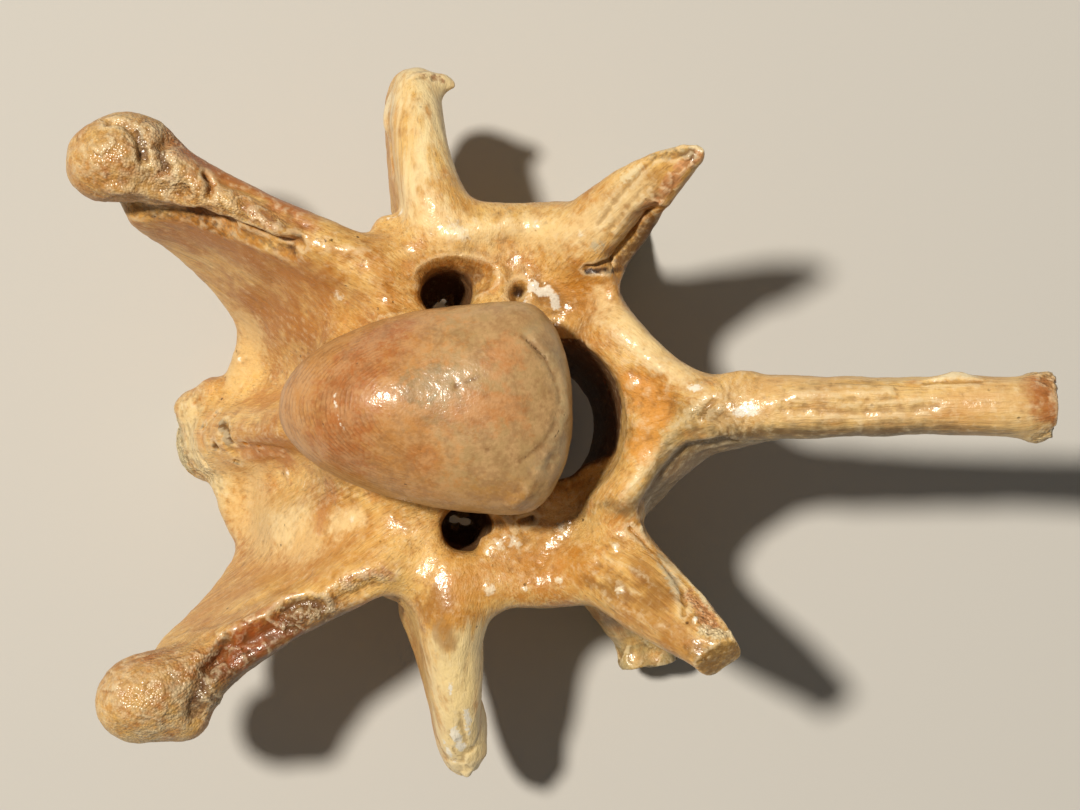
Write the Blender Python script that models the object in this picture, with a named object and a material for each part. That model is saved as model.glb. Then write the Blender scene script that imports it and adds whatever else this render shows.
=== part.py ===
# Fossil bison neck vertebra, life size, lying on its caudal end with its cranial face up.
#
# Metres, +Z up. +Z is cranial, +X dorsal along the spinous process, and +Y the animal's right.
# Sizes are written in millimetres and scaled once, where the vertices are made.
# The bone is lofted limb by limb, fused and filleted as one body, cut open by the canal and
# the foramina, set level on its resting points, and then parted with thin cuts into the pieces
# that an anatomist names.
import bpy
import bmesh
from math import cos, pi, radians, sin
from mathutils import Matrix, Vector

MM = 0.001

# Driving dimensions, in millimetres
HEAD_LONG_VENTRAL = 59.0
HEAD_LONG_DORSAL = 13.0
HEAD_HALF_WIDTH = 25.6
HEAD_CENTRE = (-5.0, -0.6)
HEAD_RIM_VENTRAL = 89.0
HEAD_RIM_DORSAL = 104.0
HEAD_TOP = (-17.0, 1.0, 116.0)
HEAD_NECK = ((17.0, 0.86, 12.0), (9.0, 0.95, 4.0), (3.0, 1.0, 0.0))  # drop, shrink, inset
CANAL_RADIUS = 17.0
CANAL_MOUTH_RADIUS = 20.5
FORAMEN_RADIUS = 6.2
CENTRUM_LENGTH = 82.0
FOSSA_DEPTH = 17.0
KNOB_RADIUS = 13.0

# How the body is fused and faceted
LOFT_SIDES = 24
BORE_SIDES = 40
END_REACH = 8.0
FUSE_VOXEL = 1.5
FILLET = 4.0
SMOOTH_ROUNDS = 9
FACETS = 6900
CUT_GAP = 0.3
REGION_LENGTH = 160.0
FLOOR_REACH = 200.0

RIGHT = 1
LEFT = -1

# Base colours, as linear RGB
AMBER = (0.48, 0.27, 0.10)
TAN = (0.62, 0.42, 0.20)
ORANGE = (0.52, 0.25, 0.07)
BROWN = (0.33, 0.17, 0.08)
HEAD_BROWN = (0.37, 0.22, 0.13)


def clear_scene():
    for item in list(bpy.data.objects):
        bpy.data.objects.remove(item, do_unlink=True)


def bone_material(name, colour, roughness):
    material = bpy.data.materials.new(name)
    material.use_nodes = True
    shader = material.node_tree.nodes["Principled BSDF"]
    shader.inputs["Base Color"].default_value = (*colour, 1.0)
    shader.inputs["Roughness"].default_value = roughness
    shader.inputs["Metallic"].default_value = 0.0
    return material


def object_from_bmesh(name, bm):
    bmesh.ops.recalc_face_normals(bm, faces=bm.faces)
    mesh = bpy.data.meshes.new(name)
    bm.to_mesh(mesh)
    bm.free()
    made = bpy.data.objects.new(name, mesh)
    bpy.context.scene.collection.objects.link(made)
    return made


def add_rings(bm, rings):
    """Closed skin through rings of points given in millimetres, with a face at each end."""
    rows = [[bm.verts.new(point * MM) for point in ring] for ring in rings]
    for lower, upper in zip(rows, rows[1:]):
        for side in range(len(lower)):
            after = (side + 1) % len(lower)
            bm.faces.new((lower[side], lower[after], upper[after], upper[side]))
    bm.faces.new(rows[0])
    bm.faces.new(rows[-1])


def station_ring(front, front_radius, back, back_radius, along):
    """Outline round two circles: one at the front (cranial) edge, one at the back edge."""
    across = (back - front).normalized()
    normal = along.cross(across).normalized()
    half = LOFT_SIDES // 2
    ring = []
    for step in range(half):
        turn = pi * step / (half - 1)
        ring.append(front + (normal * cos(turn) - across * sin(turn)) * front_radius)
    for step in range(half):
        turn = pi * step / (half - 1)
        ring.append(back + (across * sin(turn) - normal * cos(turn)) * back_radius)
    return ring


def rounded_end(ring, outward, reach):
    """Three shrinking copies of an end ring, which round the end off."""
    reach = min(reach, END_REACH)
    middle = sum(ring, Vector()) / len(ring)
    copies = []
    for turn in (radians(35), radians(62), radians(82)):
        shifted = middle + outward * reach * sin(turn)
        copies.append([shifted + (point - middle) * cos(turn) for point in ring])
    return copies


def add_limb(bm, stations):
    """Loft through stations of (front edge, radius, back edge, radius), with rounded ends."""
    fronts = [Vector(station[0]) for station in stations]
    backs = [Vector(station[2]) for station in stations]
    middles = [(front + back) / 2 for front, back in zip(fronts, backs)]
    rings = []
    for index, station in enumerate(stations):
        before = middles[max(index - 1, 0)]
        after = middles[min(index + 1, len(middles) - 1)]
        along = (after - before).normalized()
        rings.append(station_ring(fronts[index], station[1], backs[index], station[3], along))
    root_way = (middles[0] - middles[1]).normalized()
    tip_way = (middles[-1] - middles[-2]).normalized()
    root = rounded_end(rings[0], root_way, min(stations[0][1], stations[0][3]))
    tip = rounded_end(rings[-1], tip_way, min(stations[-1][1], stations[-1][3]))
    add_rings(bm, root[::-1] + rings + tip)


def add_ellipsoid(bm, centre, radii, turn_z=0.0):
    made = bmesh.ops.create_uvsphere(bm, u_segments=32, v_segments=16, radius=1.0)
    place = Matrix.Translation(Vector(centre) * MM) @ Matrix.Rotation(radians(turn_z), 4, "Z")
    size = Matrix.Diagonal((*[radius * MM for radius in radii], 1.0))
    bmesh.ops.transform(bm, matrix=place @ size, verts=made["verts"])


def add_centrum(bm):
    """Body of the vertebra: narrow at its waist, flared to the rim of the caudal fossa."""
    add_limb(bm, [
        ((-38, -3, 11), 24, (-58, -4, 7), 26),
        ((-38, -3, 22), 24, (-58, -4, 20), 25),
        ((-30, -2, 45), 22, (-48, -3, 45), 21),
        ((-26, -1, 60), 24, (-40, -2, 60), 21),
        ((-28, 0, CENTRUM_LENGTH - 10), 25, (-42, -1, CENTRUM_LENGTH - 10), 20),
    ])


def head_outline(turn, shrink):
    """Egg outline of the articular head, blunt at its dorsal end, at height of its rim."""
    reach = HEAD_LONG_DORSAL if cos(turn) > 0 else HEAD_LONG_VENTRAL
    x = HEAD_CENTRE[0] + reach * cos(turn) * shrink
    y = HEAD_CENTRE[1] + HEAD_HALF_WIDTH * sin(turn) * shrink
    slope = (x + 64.0) / 72.0
    z = HEAD_RIM_VENTRAL + (HEAD_RIM_DORSAL - HEAD_RIM_VENTRAL) * max(slope, 0.0) ** 1.4
    return Vector((x, y, z))


def add_head(bm):
    """Cranial articular head: a long egg-shaped dome with its peak towards the dorsal lip."""
    sides = 64
    peak = Vector(HEAD_TOP)
    rings = []
    for drop, shrink, inset in HEAD_NECK:
        ring = []
        for side in range(sides):
            point = head_outline(2 * pi * side / sides, shrink)
            dorsal = max(cos(2 * pi * side / sides), 0.0)
            ring.append(point - Vector((inset * dorsal, 0, drop)))
        rings.append(ring)
    for climb in (0, 12, 24, 36, 48, 60, 70, 80, 86):
        ring = []
        for side in range(sides):
            rim = head_outline(2 * pi * side / sides, 1.0)
            lift = sin(radians(climb)) ** 0.86
            flat = rim.lerp(peak, 1.0 - cos(radians(climb)))
            flat.z = rim.z + (peak.z - rim.z) * lift
            ring.append(flat)
        rings.append(ring)
    add_rings(bm, rings)


def add_ventral_crest(bm):
    """Keel under the body, which swells into the tubercle at its caudal end."""
    add_limb(bm, [
        ((-50, -3, 74), 9, (-56, -4, 74), 5),
        ((-56, -4, 48), 12, (-73, -7, 48), 6),
        ((-66, -6, 26), 14, (-85, -9, 26), 9),
        ((-70, -8, 8), 15, (-92.5, -10.5, 4), 12.5),
    ])


def add_flanks(bm):
    """Concave flanks that run from the body out to the plates, and their low caudal borders."""
    add_limb(bm, [
        ((-34, 22, 66), 15, (-44, 16, 24), 13),
        ((-52, 25, 60), 11, (-60, 17, 22), 11),
        ((-67, 23, 44), 8, (-72, 14, 18), 9),
    ])
    add_limb(bm, [
        ((-34, -25, 66), 15, (-44, -20, 24), 13),
        ((-52, -31, 60), 11, (-62, -25, 22), 11),
        ((-67, -34, 46), 8, (-74, -28, 18), 9),
    ])
    add_limb(bm, [
        ((-88, -3, 14), 6, (-84, -3, 9), 6),
        ((-82.5, 5, 18), 6, (-79, 4, 12), 6),
        ((-79, 13, 21), 6, (-76, 11, 14), 6),
        ((-77.5, 20, 24), 5.5, (-74, 18, 17), 6),
    ])
    add_limb(bm, [
        ((-88, -16, 14), 6, (-86, -16, 8), 6),
        ((-83.5, -28, 18), 6, (-80, -27, 12), 6),
        ((-78.5, -38, 25), 5, (-74, -36, 18), 6),
    ])


def add_transverse_root(bm, side):
    """Thick root beside the body, pierced by the transverse foramen, with its lateral web."""
    add_limb(bm, [
        ((-26, 27 * side, 42), 11, (2, 29 * side, 42), 12),
        ((-27, 29 * side, 56), 13, (4, 30 * side, 56), 14),
        ((-28, 30 * side, 72), 14, (5, 31 * side, 72), 15),
    ])
    add_limb(bm, [
        ((-30, 42 * side, 75), 6.5, (-30, 39 * side, 46), 6),
        ((-10, 44.6 * side, 75.5), 6.5, (-10, 41 * side, 46), 6),
        ((8, 44.6 * side, 76), 6.5, (8, 41 * side, 44), 6.5),
    ])


def add_ventral_branch_right(bm):
    """Long plate of the transverse process with a thick cranial ridge and a rough knob."""
    add_limb(bm, [
        ((-38, 32, 75), 8, (-64, 8, 18), 9),
        ((-56, 41.5, 76), 6.4, (-78.5, 23, 24), 5),
        ((-70, 47.5, 76), 6.2, (-87, 34.5, 33), 4),
        ((-84, 54.5, 76.5), 6.4, (-96.5, 44, 46), 4.4),
        ((-97, 60, 78), 8.5, (-103, 50, 62), 6),
    ])
    knob_long = KNOB_RADIUS * 1.08
    knob_wide = KNOB_RADIUS * 0.82
    add_ellipsoid(bm, (-104.5, 61.5, 78), (knob_long, knob_wide * 1.05, KNOB_RADIUS * 0.86), 22)
    add_ellipsoid(bm, (-96, 65, 78), (KNOB_RADIUS * 0.5, KNOB_RADIUS * 0.45, KNOB_RADIUS * 0.5), -25)


def add_ventral_branch_left(bm):
    """The left plate, a little shorter, with a longer and rounder knob."""
    add_limb(bm, [
        ((-36, -37, 74), 8, (-64, -22, 18), 9),
        ((-50, -46.5, 76), 6.4, (-78, -40, 25), 5),
        ((-64, -53.5, 76), 6.4, (-83.5, -49, 34), 4),
        ((-78, -62.5, 76.5), 6.8, (-90, -58, 48), 4.4),
        ((-88, -70, 77), 9.0, (-95, -65, 62), 6),
    ])
    knob_long = KNOB_RADIUS * 1.12
    knob_wide = KNOB_RADIUS * 0.9
    add_ellipsoid(bm, (-97, -72.5, 77), (knob_long, knob_wide, knob_wide), 18)
    add_ellipsoid(bm, (-89, -78, 76), (KNOB_RADIUS * 0.6, KNOB_RADIUS * 0.5, KNOB_RADIUS * 0.6), 20)


def add_dorsal_tubercle_right(bm):
    """Flat plate that stands out sideways, with its cranial edge up and leaning dorsally."""
    add_limb(bm, [
        ((-22, 38, 74), 8, (-27, 36, 44), 8),
        ((-26.5, 52, 75), 8, (-34, 52, 42), 6),
        ((-29.5, 64, 70), 7.0, (-35.5, 65, 42), 5),
        ((-31, 74, 66.5), 6.8, (-37, 75, 42), 4.8),
        ((-30.8, 82.5, 61.5), 6.2, (-35.5, 83, 48), 5.2),
    ])


def add_dorsal_tubercle_left(bm):
    """The left one runs further out, to a blunt broken point."""
    add_limb(bm, [
        ((-21, -38, 74), 8, (-27, -36, 44), 8),
        ((-22, -52, 75), 9.0, (-32, -53, 44), 6.5),
        ((-21.5, -64, 70), 7.8, (-27.5, -66, 44), 5.4),
        ((-20.5, -76, 66), 6.6, (-25, -78, 44), 5.0),
        ((-20.2, -86, 60), 6.3, (-23, -87, 46), 5.0),
        ((-19.5, -92.2, 56), 5.0, (-21, -92.5, 50), 4.8),
    ])


def add_neural_arch(bm):
    """Vault over the canal, from the pedicles to the root of the spinous process."""
    add_limb(bm, [
        ((0, 12, 22), 19, (0, -15, 22), 19),
        ((2, 12, 34), 20, (2, -15, 34), 20),
        ((4, 13, 56), 21, (4, -16, 56), 21),
        ((5, 14, 72), 21, (5, -17, 72), 21),
    ])
    add_limb(bm, [
        ((14, 17, 83), 6, (12, 14, 50), 8),
        ((24, 3, 87), 6, (18, 2, 40), 8),
        ((25, -8, 87), 6, (18, -8, 40), 8),
        ((16, -21, 85), 6, (12, -18, 50), 8),
    ])


def add_spinous_process(bm):
    """Straight rod in front with a thin blade behind it, which fades towards the tip."""
    add_limb(bm, [
        ((22, -2, 82), 10, (18, -3, 40), 7),
        ((36, -1.5, 93), 9.2, (30, -3, 54), 4.5),
        ((50, -0.8, 98), 8.6, (46, -2, 70), 3.6),
        ((68, -0.6, 101), 7.9, (66, -1, 83), 3.4),
        ((92, -0.1, 103.5), 7.2, (92, -0.4, 92), 4.0),
        ((115.5, -0.3, 106.5), 7.6, (116, -0.8, 98), 6.0),
    ])


def add_lamina_ridges(bm):
    """The two rounded ridges that run from the articular processes to the spine's root.

    The left lamina also bulges outward under its ridge.
    """
    add_limb(bm, [
        ((40, 3, 98), 3.2, (40, 1, 88), 5),
        ((28, 12, 91), 3.0, (26, 10, 78), 5),
        ((19, 22, 87), 3.4, (17, 20, 70), 6),
    ])
    add_limb(bm, [
        ((40, -2, 98), 3.2, (40, -2, 88), 5),
        ((30, -14, 90), 3.0, (27, -12, 76), 5),
        ((21, -25, 88), 3.4, (18, -23, 70), 6),
    ])
    add_limb(bm, [
        ((52, -2, 96), 4, (55, -4.5, 78), 4.5),
        ((40, -5, 91), 4, (42, -8, 64), 5),
        ((31, -12, 85), 4, (31.5, -14, 57), 5.5),
        ((24, -20, 81), 4, (26, -22, 54), 5),
    ])


def add_cranial_articular_right(bm):
    """Slanting wing that carries a facet, worn to a thin broken tip."""
    add_limb(bm, [
        ((7, 34, 76), 12, (4, 32, 50), 10),
        ((14.5, 42, 84), 11, (10, 39, 62), 9),
        ((24.5, 51, 97), 9.0, (20, 48, 78), 6.5),
        ((32, 56.5, 107), 5.8, (28, 54, 94), 4.5),
        ((38, 58.5, 112), 3.4, (36, 57.5, 106), 3.2),
    ])


def add_cranial_articular_left(bm):
    """The left wing, broken off blunt, with more of its depth left."""
    add_limb(bm, [
        ((10, -34, 74), 12, (6, -33, 50), 10),
        ((19, -40, 83), 11.5, (13, -39, 62), 9),
        ((31, -49.5, 96), 9.6, (25, -48, 76), 7.5),
        ((40.5, -57, 105), 7.0, (35, -55, 90), 6),
        ((43, -59.5, 107), 5.8, (39.5, -58, 97), 5.4),
    ])


def add_caudal_articular(bm, side, foot_x, foot_y):
    """Pillar from the lateral edge of the arch down to the foot that the bone rests on."""
    add_limb(bm, [
        ((8, 35 * side, 62), 9, (0, 26 * side, 58), 8),
        ((12, 40 * side, 44), 8.5, (4, 24 * side, 38), 8),
        ((foot_x - 7, (foot_y - 9) * side, 24), 8.5, (8, 24 * side, 22), 7.5),
        ((foot_x, foot_y * side, 2), 8.0, (foot_x - 9, (foot_y - 16) * side, 5), 6.5),
    ])


def loft_bone():
    """Every limb, overlapping its neighbours, in one mesh."""
    bm = bmesh.new()
    add_centrum(bm)
    add_head(bm)
    add_ventral_crest(bm)
    add_flanks(bm)
    for side in (RIGHT, LEFT):
        add_transverse_root(bm, side)
    add_ventral_branch_right(bm)
    add_ventral_branch_left(bm)
    add_dorsal_tubercle_right(bm)
    add_dorsal_tubercle_left(bm)
    add_neural_arch(bm)
    add_spinous_process(bm)
    add_lamina_ridges(bm)
    add_cranial_articular_right(bm)
    add_cranial_articular_left(bm)
    add_caudal_articular(bm, RIGHT, 23, 52)
    add_caudal_articular(bm, LEFT, 32, 68)
    return object_from_bmesh("bone", bm)


def add_remesh(item, voxel):
    remesh = item.modifiers.new("fuse", "REMESH")
    remesh.mode = "VOXEL"
    remesh.voxel_size = voxel * MM


def add_offset(item, distance):
    offset = item.modifiers.new("offset", "DISPLACE")
    offset.mid_level = 0.0
    offset.strength = distance * MM


def add_boolean(item, cutter, operation):
    cut = item.modifiers.new("cut", "BOOLEAN")
    cut.operation = operation
    cut.solver = "EXACT"
    cut.object = cutter


def settle(item):
    """Replace an object's mesh by the shape its modifiers make, and drop the modifiers."""
    view = bpy.context.evaluated_depsgraph_get()
    shaped = bpy.data.meshes.new_from_object(item.evaluated_get(view))
    item.modifiers.clear()
    item.data = shaped


def fuse_and_fillet(bone):
    """One skin over all limbs, with rounded inner corners where they meet."""
    add_remesh(bone, FUSE_VOXEL)
    add_offset(bone, FILLET)
    add_remesh(bone, FUSE_VOXEL)
    add_offset(bone, -FILLET)
    add_remesh(bone, FUSE_VOXEL)
    settle(bone)


def oval_bore(name, stations, side=RIGHT):
    """Cutter along Z through stations of (z, x, y, half size in x, half size in y)."""
    bm = bmesh.new()
    rings = []
    for z, x, y, half_x, half_y in stations:
        ring = []
        for step in range(BORE_SIDES):
            turn = 2 * pi * step / BORE_SIDES
            ring.append(Vector((x + half_x * cos(turn), (y + half_y * sin(turn)) * side, z)))
        rings.append(ring)
    add_rings(bm, rings)
    return object_from_bmesh(name, bm)


def canal_cutter():
    """Vertebral canal: a nearly round bore, wider and set further dorsally at its cranial mouth."""
    wide = CANAL_RADIUS
    flat = CANAL_RADIUS * 0.88
    mouth = CANAL_MOUTH_RADIUS
    return oval_bore("canal_cutter", [
        (-12, -0.5, -6.5, flat, wide),
        (20, 0.0, -6.0, flat, wide),
        (55, 1.0, -5.0, flat + 1, wide + 1),
        (78, 4.3, -4.6, mouth * 0.78, mouth * 0.96),
        (92, 6.8, -3.9, mouth * 0.77, mouth * 0.97),
    ])


def foramen_cutter(side, mouth_x, mouth_y):
    """Transverse foramen: a sloping bore whose cranial mouth flares towards the canal's side."""
    narrow = FORAMEN_RADIUS
    foot_x = mouth_x - 3
    foot_y = mouth_y - 1
    return oval_bore("foramen_cutter", [
        (24, foot_x - 1, foot_y - 1, narrow * 1.18, narrow * 1.1),
        (36, foot_x, foot_y, narrow * 1.08, narrow),
        (66, mouth_x, mouth_y, narrow * 1.05, narrow * 0.95),
        (78, mouth_x + 1, mouth_y, narrow * 1.15, narrow * 0.98),
        (90, mouth_x + 3, mouth_y, narrow * 1.6, narrow * 1.25),
    ], side)


def fossa_cutter():
    """Caudal articular fossa, the deep oval cup that takes the next vertebra's head."""
    bm = bmesh.new()
    add_ellipsoid(bm, (-50, -3.5, -3), (31, 24, FOSSA_DEPTH + 3), 0)
    return object_from_bmesh("fossa_cutter", bm)


def head_again():
    """The head once more, to give back what the canal's bore took from it."""
    bm = bmesh.new()
    add_head(bm)
    return object_from_bmesh("head_again", bm)


def box_object(name, low, high):
    bm = bmesh.new()
    made = bmesh.ops.create_cube(bm, size=1.0)
    size = Vector(high) - Vector(low)
    middle = (Vector(high) + Vector(low)) / 2
    place = Matrix.Translation(middle * MM) @ Matrix.Diagonal((*(size * MM), 1.0))
    bmesh.ops.transform(bm, matrix=place, verts=made["verts"])
    return object_from_bmesh(name, bm)


def open_bores(bone):
    cutters = [
        canal_cutter(),
        foramen_cutter(RIGHT, -24.0, 27.8),
        foramen_cutter(LEFT, -19.0, 30.9),
        fossa_cutter(),
    ]
    for cutter in cutters:
        add_boolean(bone, cutter, "DIFFERENCE")
    settle(bone)
    head = head_again()
    add_boolean(bone, head, "UNION")
    settle(bone)
    for cutter in cutters + [head]:
        bpy.data.objects.remove(cutter, do_unlink=True)


def level_and_facet(bone):
    """Soften the edges, cut the resting points flat at floor level, and facet the skin."""
    add_remesh(bone, FUSE_VOXEL)
    soften = bone.modifiers.new("soften", "SMOOTH")
    soften.factor = 0.5
    soften.iterations = SMOOTH_ROUNDS
    settle(bone)
    bone.data.calc_loop_triangles()
    reduce = bone.modifiers.new("facet", "DECIMATE")
    reduce.ratio = FACETS / len(bone.data.loop_triangles)
    settle(bone)
    reach = FLOOR_REACH
    floor = box_object("floor_cutter", (-reach, -reach, -reach), (reach, reach, 0))
    add_boolean(bone, floor, "DIFFERENCE")
    settle(bone)
    bpy.data.objects.remove(floor, do_unlink=True)


def region_box(name, base, outward, side, half_side, half_depth, inset):
    """Box over one limb: its near face lies on the cut plane, moved outward by inset."""
    bm = bmesh.new()
    made = bmesh.ops.create_cube(bm, size=1.0)
    forward = Vector(outward).normalized()
    deep = forward.cross(Vector(side)).normalized()
    across = deep.cross(forward).normalized()
    turn = Matrix((across, deep, forward)).transposed().to_4x4()
    start = Vector(base) + forward * (inset + REGION_LENGTH / 2)
    size = Matrix.Diagonal((2 * half_side * MM, 2 * half_depth * MM, REGION_LENGTH * MM, 1.0))
    bmesh.ops.transform(bm, matrix=Matrix.Translation(start * MM) @ turn @ size, verts=made["verts"])
    return object_from_bmesh(name, bm)


def part_off(rest, name, material, base, outward, side, half_side, half_depth):
    """Cut one limb off the rest with a thin planar gap, and keep it as its own object."""
    outer = region_box("outer_region", base, outward, side, half_side, half_depth, CUT_GAP)
    inner = region_box("inner_region", base, outward, side, half_side + 1, half_depth + 1, 0.0)
    piece = bpy.data.objects.new(name, rest.data.copy())
    bpy.context.scene.collection.objects.link(piece)
    add_boolean(piece, outer, "INTERSECT")
    add_boolean(rest, inner, "DIFFERENCE")
    settle(piece)
    settle(rest)
    dress(piece, material)
    bpy.data.objects.remove(outer, do_unlink=True)
    bpy.data.objects.remove(inner, do_unlink=True)


def dress(piece, material):
    piece.data.materials.clear()
    piece.data.materials.append(material)
    piece.data.shade_smooth()
    piece.data.set_sharp_from_angle(angle=radians(50))


def part_bone(whole):
    """Part the body into the pieces that an anatomist names, each cut off at a plane.

    A cut has a place on its plane, the way out of the body, and a box that bounds the piece.
    """
    amber = bone_material("fossil_bone_amber", AMBER, 0.35)
    tan = bone_material("fossil_bone_tan", TAN, 0.4)
    orange = bone_material("fossil_bone_orange", ORANGE, 0.3)
    rough = bone_material("fossil_bone_rough", BROWN, 0.55)
    worn = bone_material("fossil_bone_head", HEAD_BROWN, 0.25)
    up = (0, 0, 1)
    along_x = (1, 0, 0)
    cuts = [
        ("cranial_head", worn, (-28, 0, 88.7), (-0.076, 0, 1), along_x, 41, 29),
        ("spinous_process", tan, (34, -2, 60), along_x, up, 70, 21),
        ("ventral_branch_right", rough, (-71, 33.5, 51), (-0.75, 0.63, 0.17), (26, 17, 50), 60, 25),
        ("ventral_branch_left", rough, (-68, -45.5, 51), (-0.72, -0.66, 0.29), (28, -9, 50), 60, 25),
        ("dorsal_tubercle_right", tan, (-31, 51, 60), (0, 1, 0), up, 60, 22),
        ("dorsal_tubercle_left", tan, (-23, -52, 60), (0, -1, 0), up, 60, 20),
        ("cranial_articular_process_right", amber, (17, 42, 82), (0.62, 0.54, 0.57), up, 30, 25),
        ("cranial_articular_process_left", amber, (20, -41, 84), (0.66, -0.55, 0.51), up, 30, 25),
        ("caudal_articular_process_right", amber, (14, 40, 28), (0.35, 0.45, -0.82), along_x, 30, 27),
        ("caudal_articular_process_left", amber, (18, -46, 28), (0.35, -0.5, -0.79), along_x, 30, 27),
        ("ventral_crest_tubercle", tan, (-86, -12, 14), (-1, 0, 0), up, 24, 27),
        ("neural_arch", orange, (-9, 0, 50), along_x, up, 80, 80),
    ]
    for cut in cuts:
        part_off(whole, *cut)
    whole.name = "centrum"
    dress(whole, amber)


def centre_on_floor():
    """Move every piece so that the origin is under the middle of the bone's box."""
    pieces = [item for item in bpy.data.objects if item.type == "MESH"]
    points = [vertex.co for item in pieces for vertex in item.data.vertices]
    middle_x = (min(point.x for point in points) + max(point.x for point in points)) / 2
    middle_y = (min(point.y for point in points) + max(point.y for point in points)) / 2
    lowest = min(point.z for point in points)
    for item in pieces:
        item.data.transform(Matrix.Translation((-middle_x, -middle_y, -lowest)))


clear_scene()
bone = loft_bone()
fuse_and_fillet(bone)
open_bores(bone)
level_and_facet(bone)
part_bone(bone)
centre_on_floor()
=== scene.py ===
from itertools import product
from math import cos, pi, radians, sin

import bmesh
import bpy
import numpy as np
from mathutils import Matrix, Vector


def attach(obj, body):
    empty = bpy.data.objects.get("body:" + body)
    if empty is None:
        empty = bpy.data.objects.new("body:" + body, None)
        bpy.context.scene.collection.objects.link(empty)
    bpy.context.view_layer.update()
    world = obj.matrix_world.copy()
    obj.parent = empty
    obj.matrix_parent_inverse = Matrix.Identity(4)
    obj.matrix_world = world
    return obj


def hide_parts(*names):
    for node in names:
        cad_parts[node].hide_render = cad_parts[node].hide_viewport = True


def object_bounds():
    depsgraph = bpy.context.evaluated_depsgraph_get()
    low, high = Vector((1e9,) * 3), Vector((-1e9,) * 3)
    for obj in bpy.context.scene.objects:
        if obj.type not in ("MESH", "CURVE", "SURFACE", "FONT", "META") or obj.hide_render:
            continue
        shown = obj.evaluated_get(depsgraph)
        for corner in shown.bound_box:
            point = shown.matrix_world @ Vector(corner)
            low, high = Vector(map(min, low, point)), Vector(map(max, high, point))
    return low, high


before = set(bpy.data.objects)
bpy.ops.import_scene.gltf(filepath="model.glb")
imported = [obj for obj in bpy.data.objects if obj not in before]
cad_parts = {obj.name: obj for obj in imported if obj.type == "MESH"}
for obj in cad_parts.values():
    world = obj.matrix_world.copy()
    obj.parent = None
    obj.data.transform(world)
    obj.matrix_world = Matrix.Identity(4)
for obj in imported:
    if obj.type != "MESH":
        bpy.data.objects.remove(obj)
cad_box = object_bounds()

# The whole bone is one piece of mineralised bone, so its thirteen CAD nodes become one skin.
# They are swollen until their thin cuts close, fused, shrunk back and evened out, and the
# skin is then worked in millimetres like clay, one part of the bone after another.
MM = 0.001
CUT_CLOSER = 0.4
FUSED_SPACING = 1.15
EVENING_ROUNDS = 22


def fused_mesh(nodes, lumps):
    """One mesh over the nodes and over added lumps, each (middle, half sizes, turn about Z)."""
    bm = bmesh.new()
    for node in nodes:
        bm.from_mesh(node.data)
    bmesh.ops.remove_doubles(bm, verts=bm.verts, dist=CUT_CLOSER * MM / 100)
    for middle, half, turn in lumps:
        made = bmesh.ops.create_icosphere(bm, subdivisions=3, radius=1.0)
        place = Matrix.Translation(Vector(middle) * MM) @ Matrix.Rotation(radians(turn), 4, "Z")
        size = Matrix.Diagonal((*(Vector(half) * MM), 1.0))
        bmesh.ops.transform(bm, matrix=place @ size, verts=made["verts"])
    bm.normal_update()
    swollen = [vert.co + vert.normal * CUT_CLOSER * MM for vert in bm.verts]
    for vert, place in zip(bm.verts, swollen):
        vert.co = place
    mesh = bpy.data.meshes.new("bone")
    bm.to_mesh(mesh)
    bm.free()
    return mesh


def settle(item):
    """Replace an object's mesh by the shape its modifiers make, and drop the modifiers."""
    view = bpy.context.evaluated_depsgraph_get()
    shaped = bpy.data.meshes.new_from_object(item.evaluated_get(view))
    item.modifiers.clear()
    item.data = shaped


def read_points(mesh):
    flat = np.empty(len(mesh.vertices) * 3, np.float32)
    mesh.vertices.foreach_get("co", flat)
    return flat.reshape(-1, 3).astype(float) / MM


def write_points(mesh, places):
    mesh.vertices.foreach_set("co", (places * MM).astype(np.float32).ravel())
    mesh.update()


def facing(mesh):
    """The way out of the bone at each point."""
    flat = np.empty(len(mesh.vertices) * 3, np.float32)
    mesh.vertex_normals.foreach_get("vector", flat)
    return flat.reshape(-1, 3).astype(float)


def ties_of(mesh):
    flat = np.empty(len(mesh.edges) * 2, np.int32)
    mesh.edges.foreach_get("vertices", flat)
    return flat.reshape(-1, 2)


def blurred(values, ties, rounds):
    """Each point's values drawn towards its neighbours' mean, over and over."""
    count = np.bincount(ties.ravel(), minlength=len(values))
    columns = [values[:, axis].copy() for axis in range(values.shape[1])]
    for step in range(rounds):
        for axis, column in enumerate(columns):
            near = np.bincount(ties[:, 0], column[ties[:, 1]], len(values))
            near += np.bincount(ties[:, 1], column[ties[:, 0]], len(values))
            columns[axis] = (column + near / count) / 2
    return np.stack(columns, 1)


def evened(places, ties, rounds):
    """Smooths facets away, then gives back the broad form that smoothing alone would shrink."""
    soft = blurred(places, ties, rounds)
    return soft + blurred(places - soft, ties, rounds)


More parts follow.
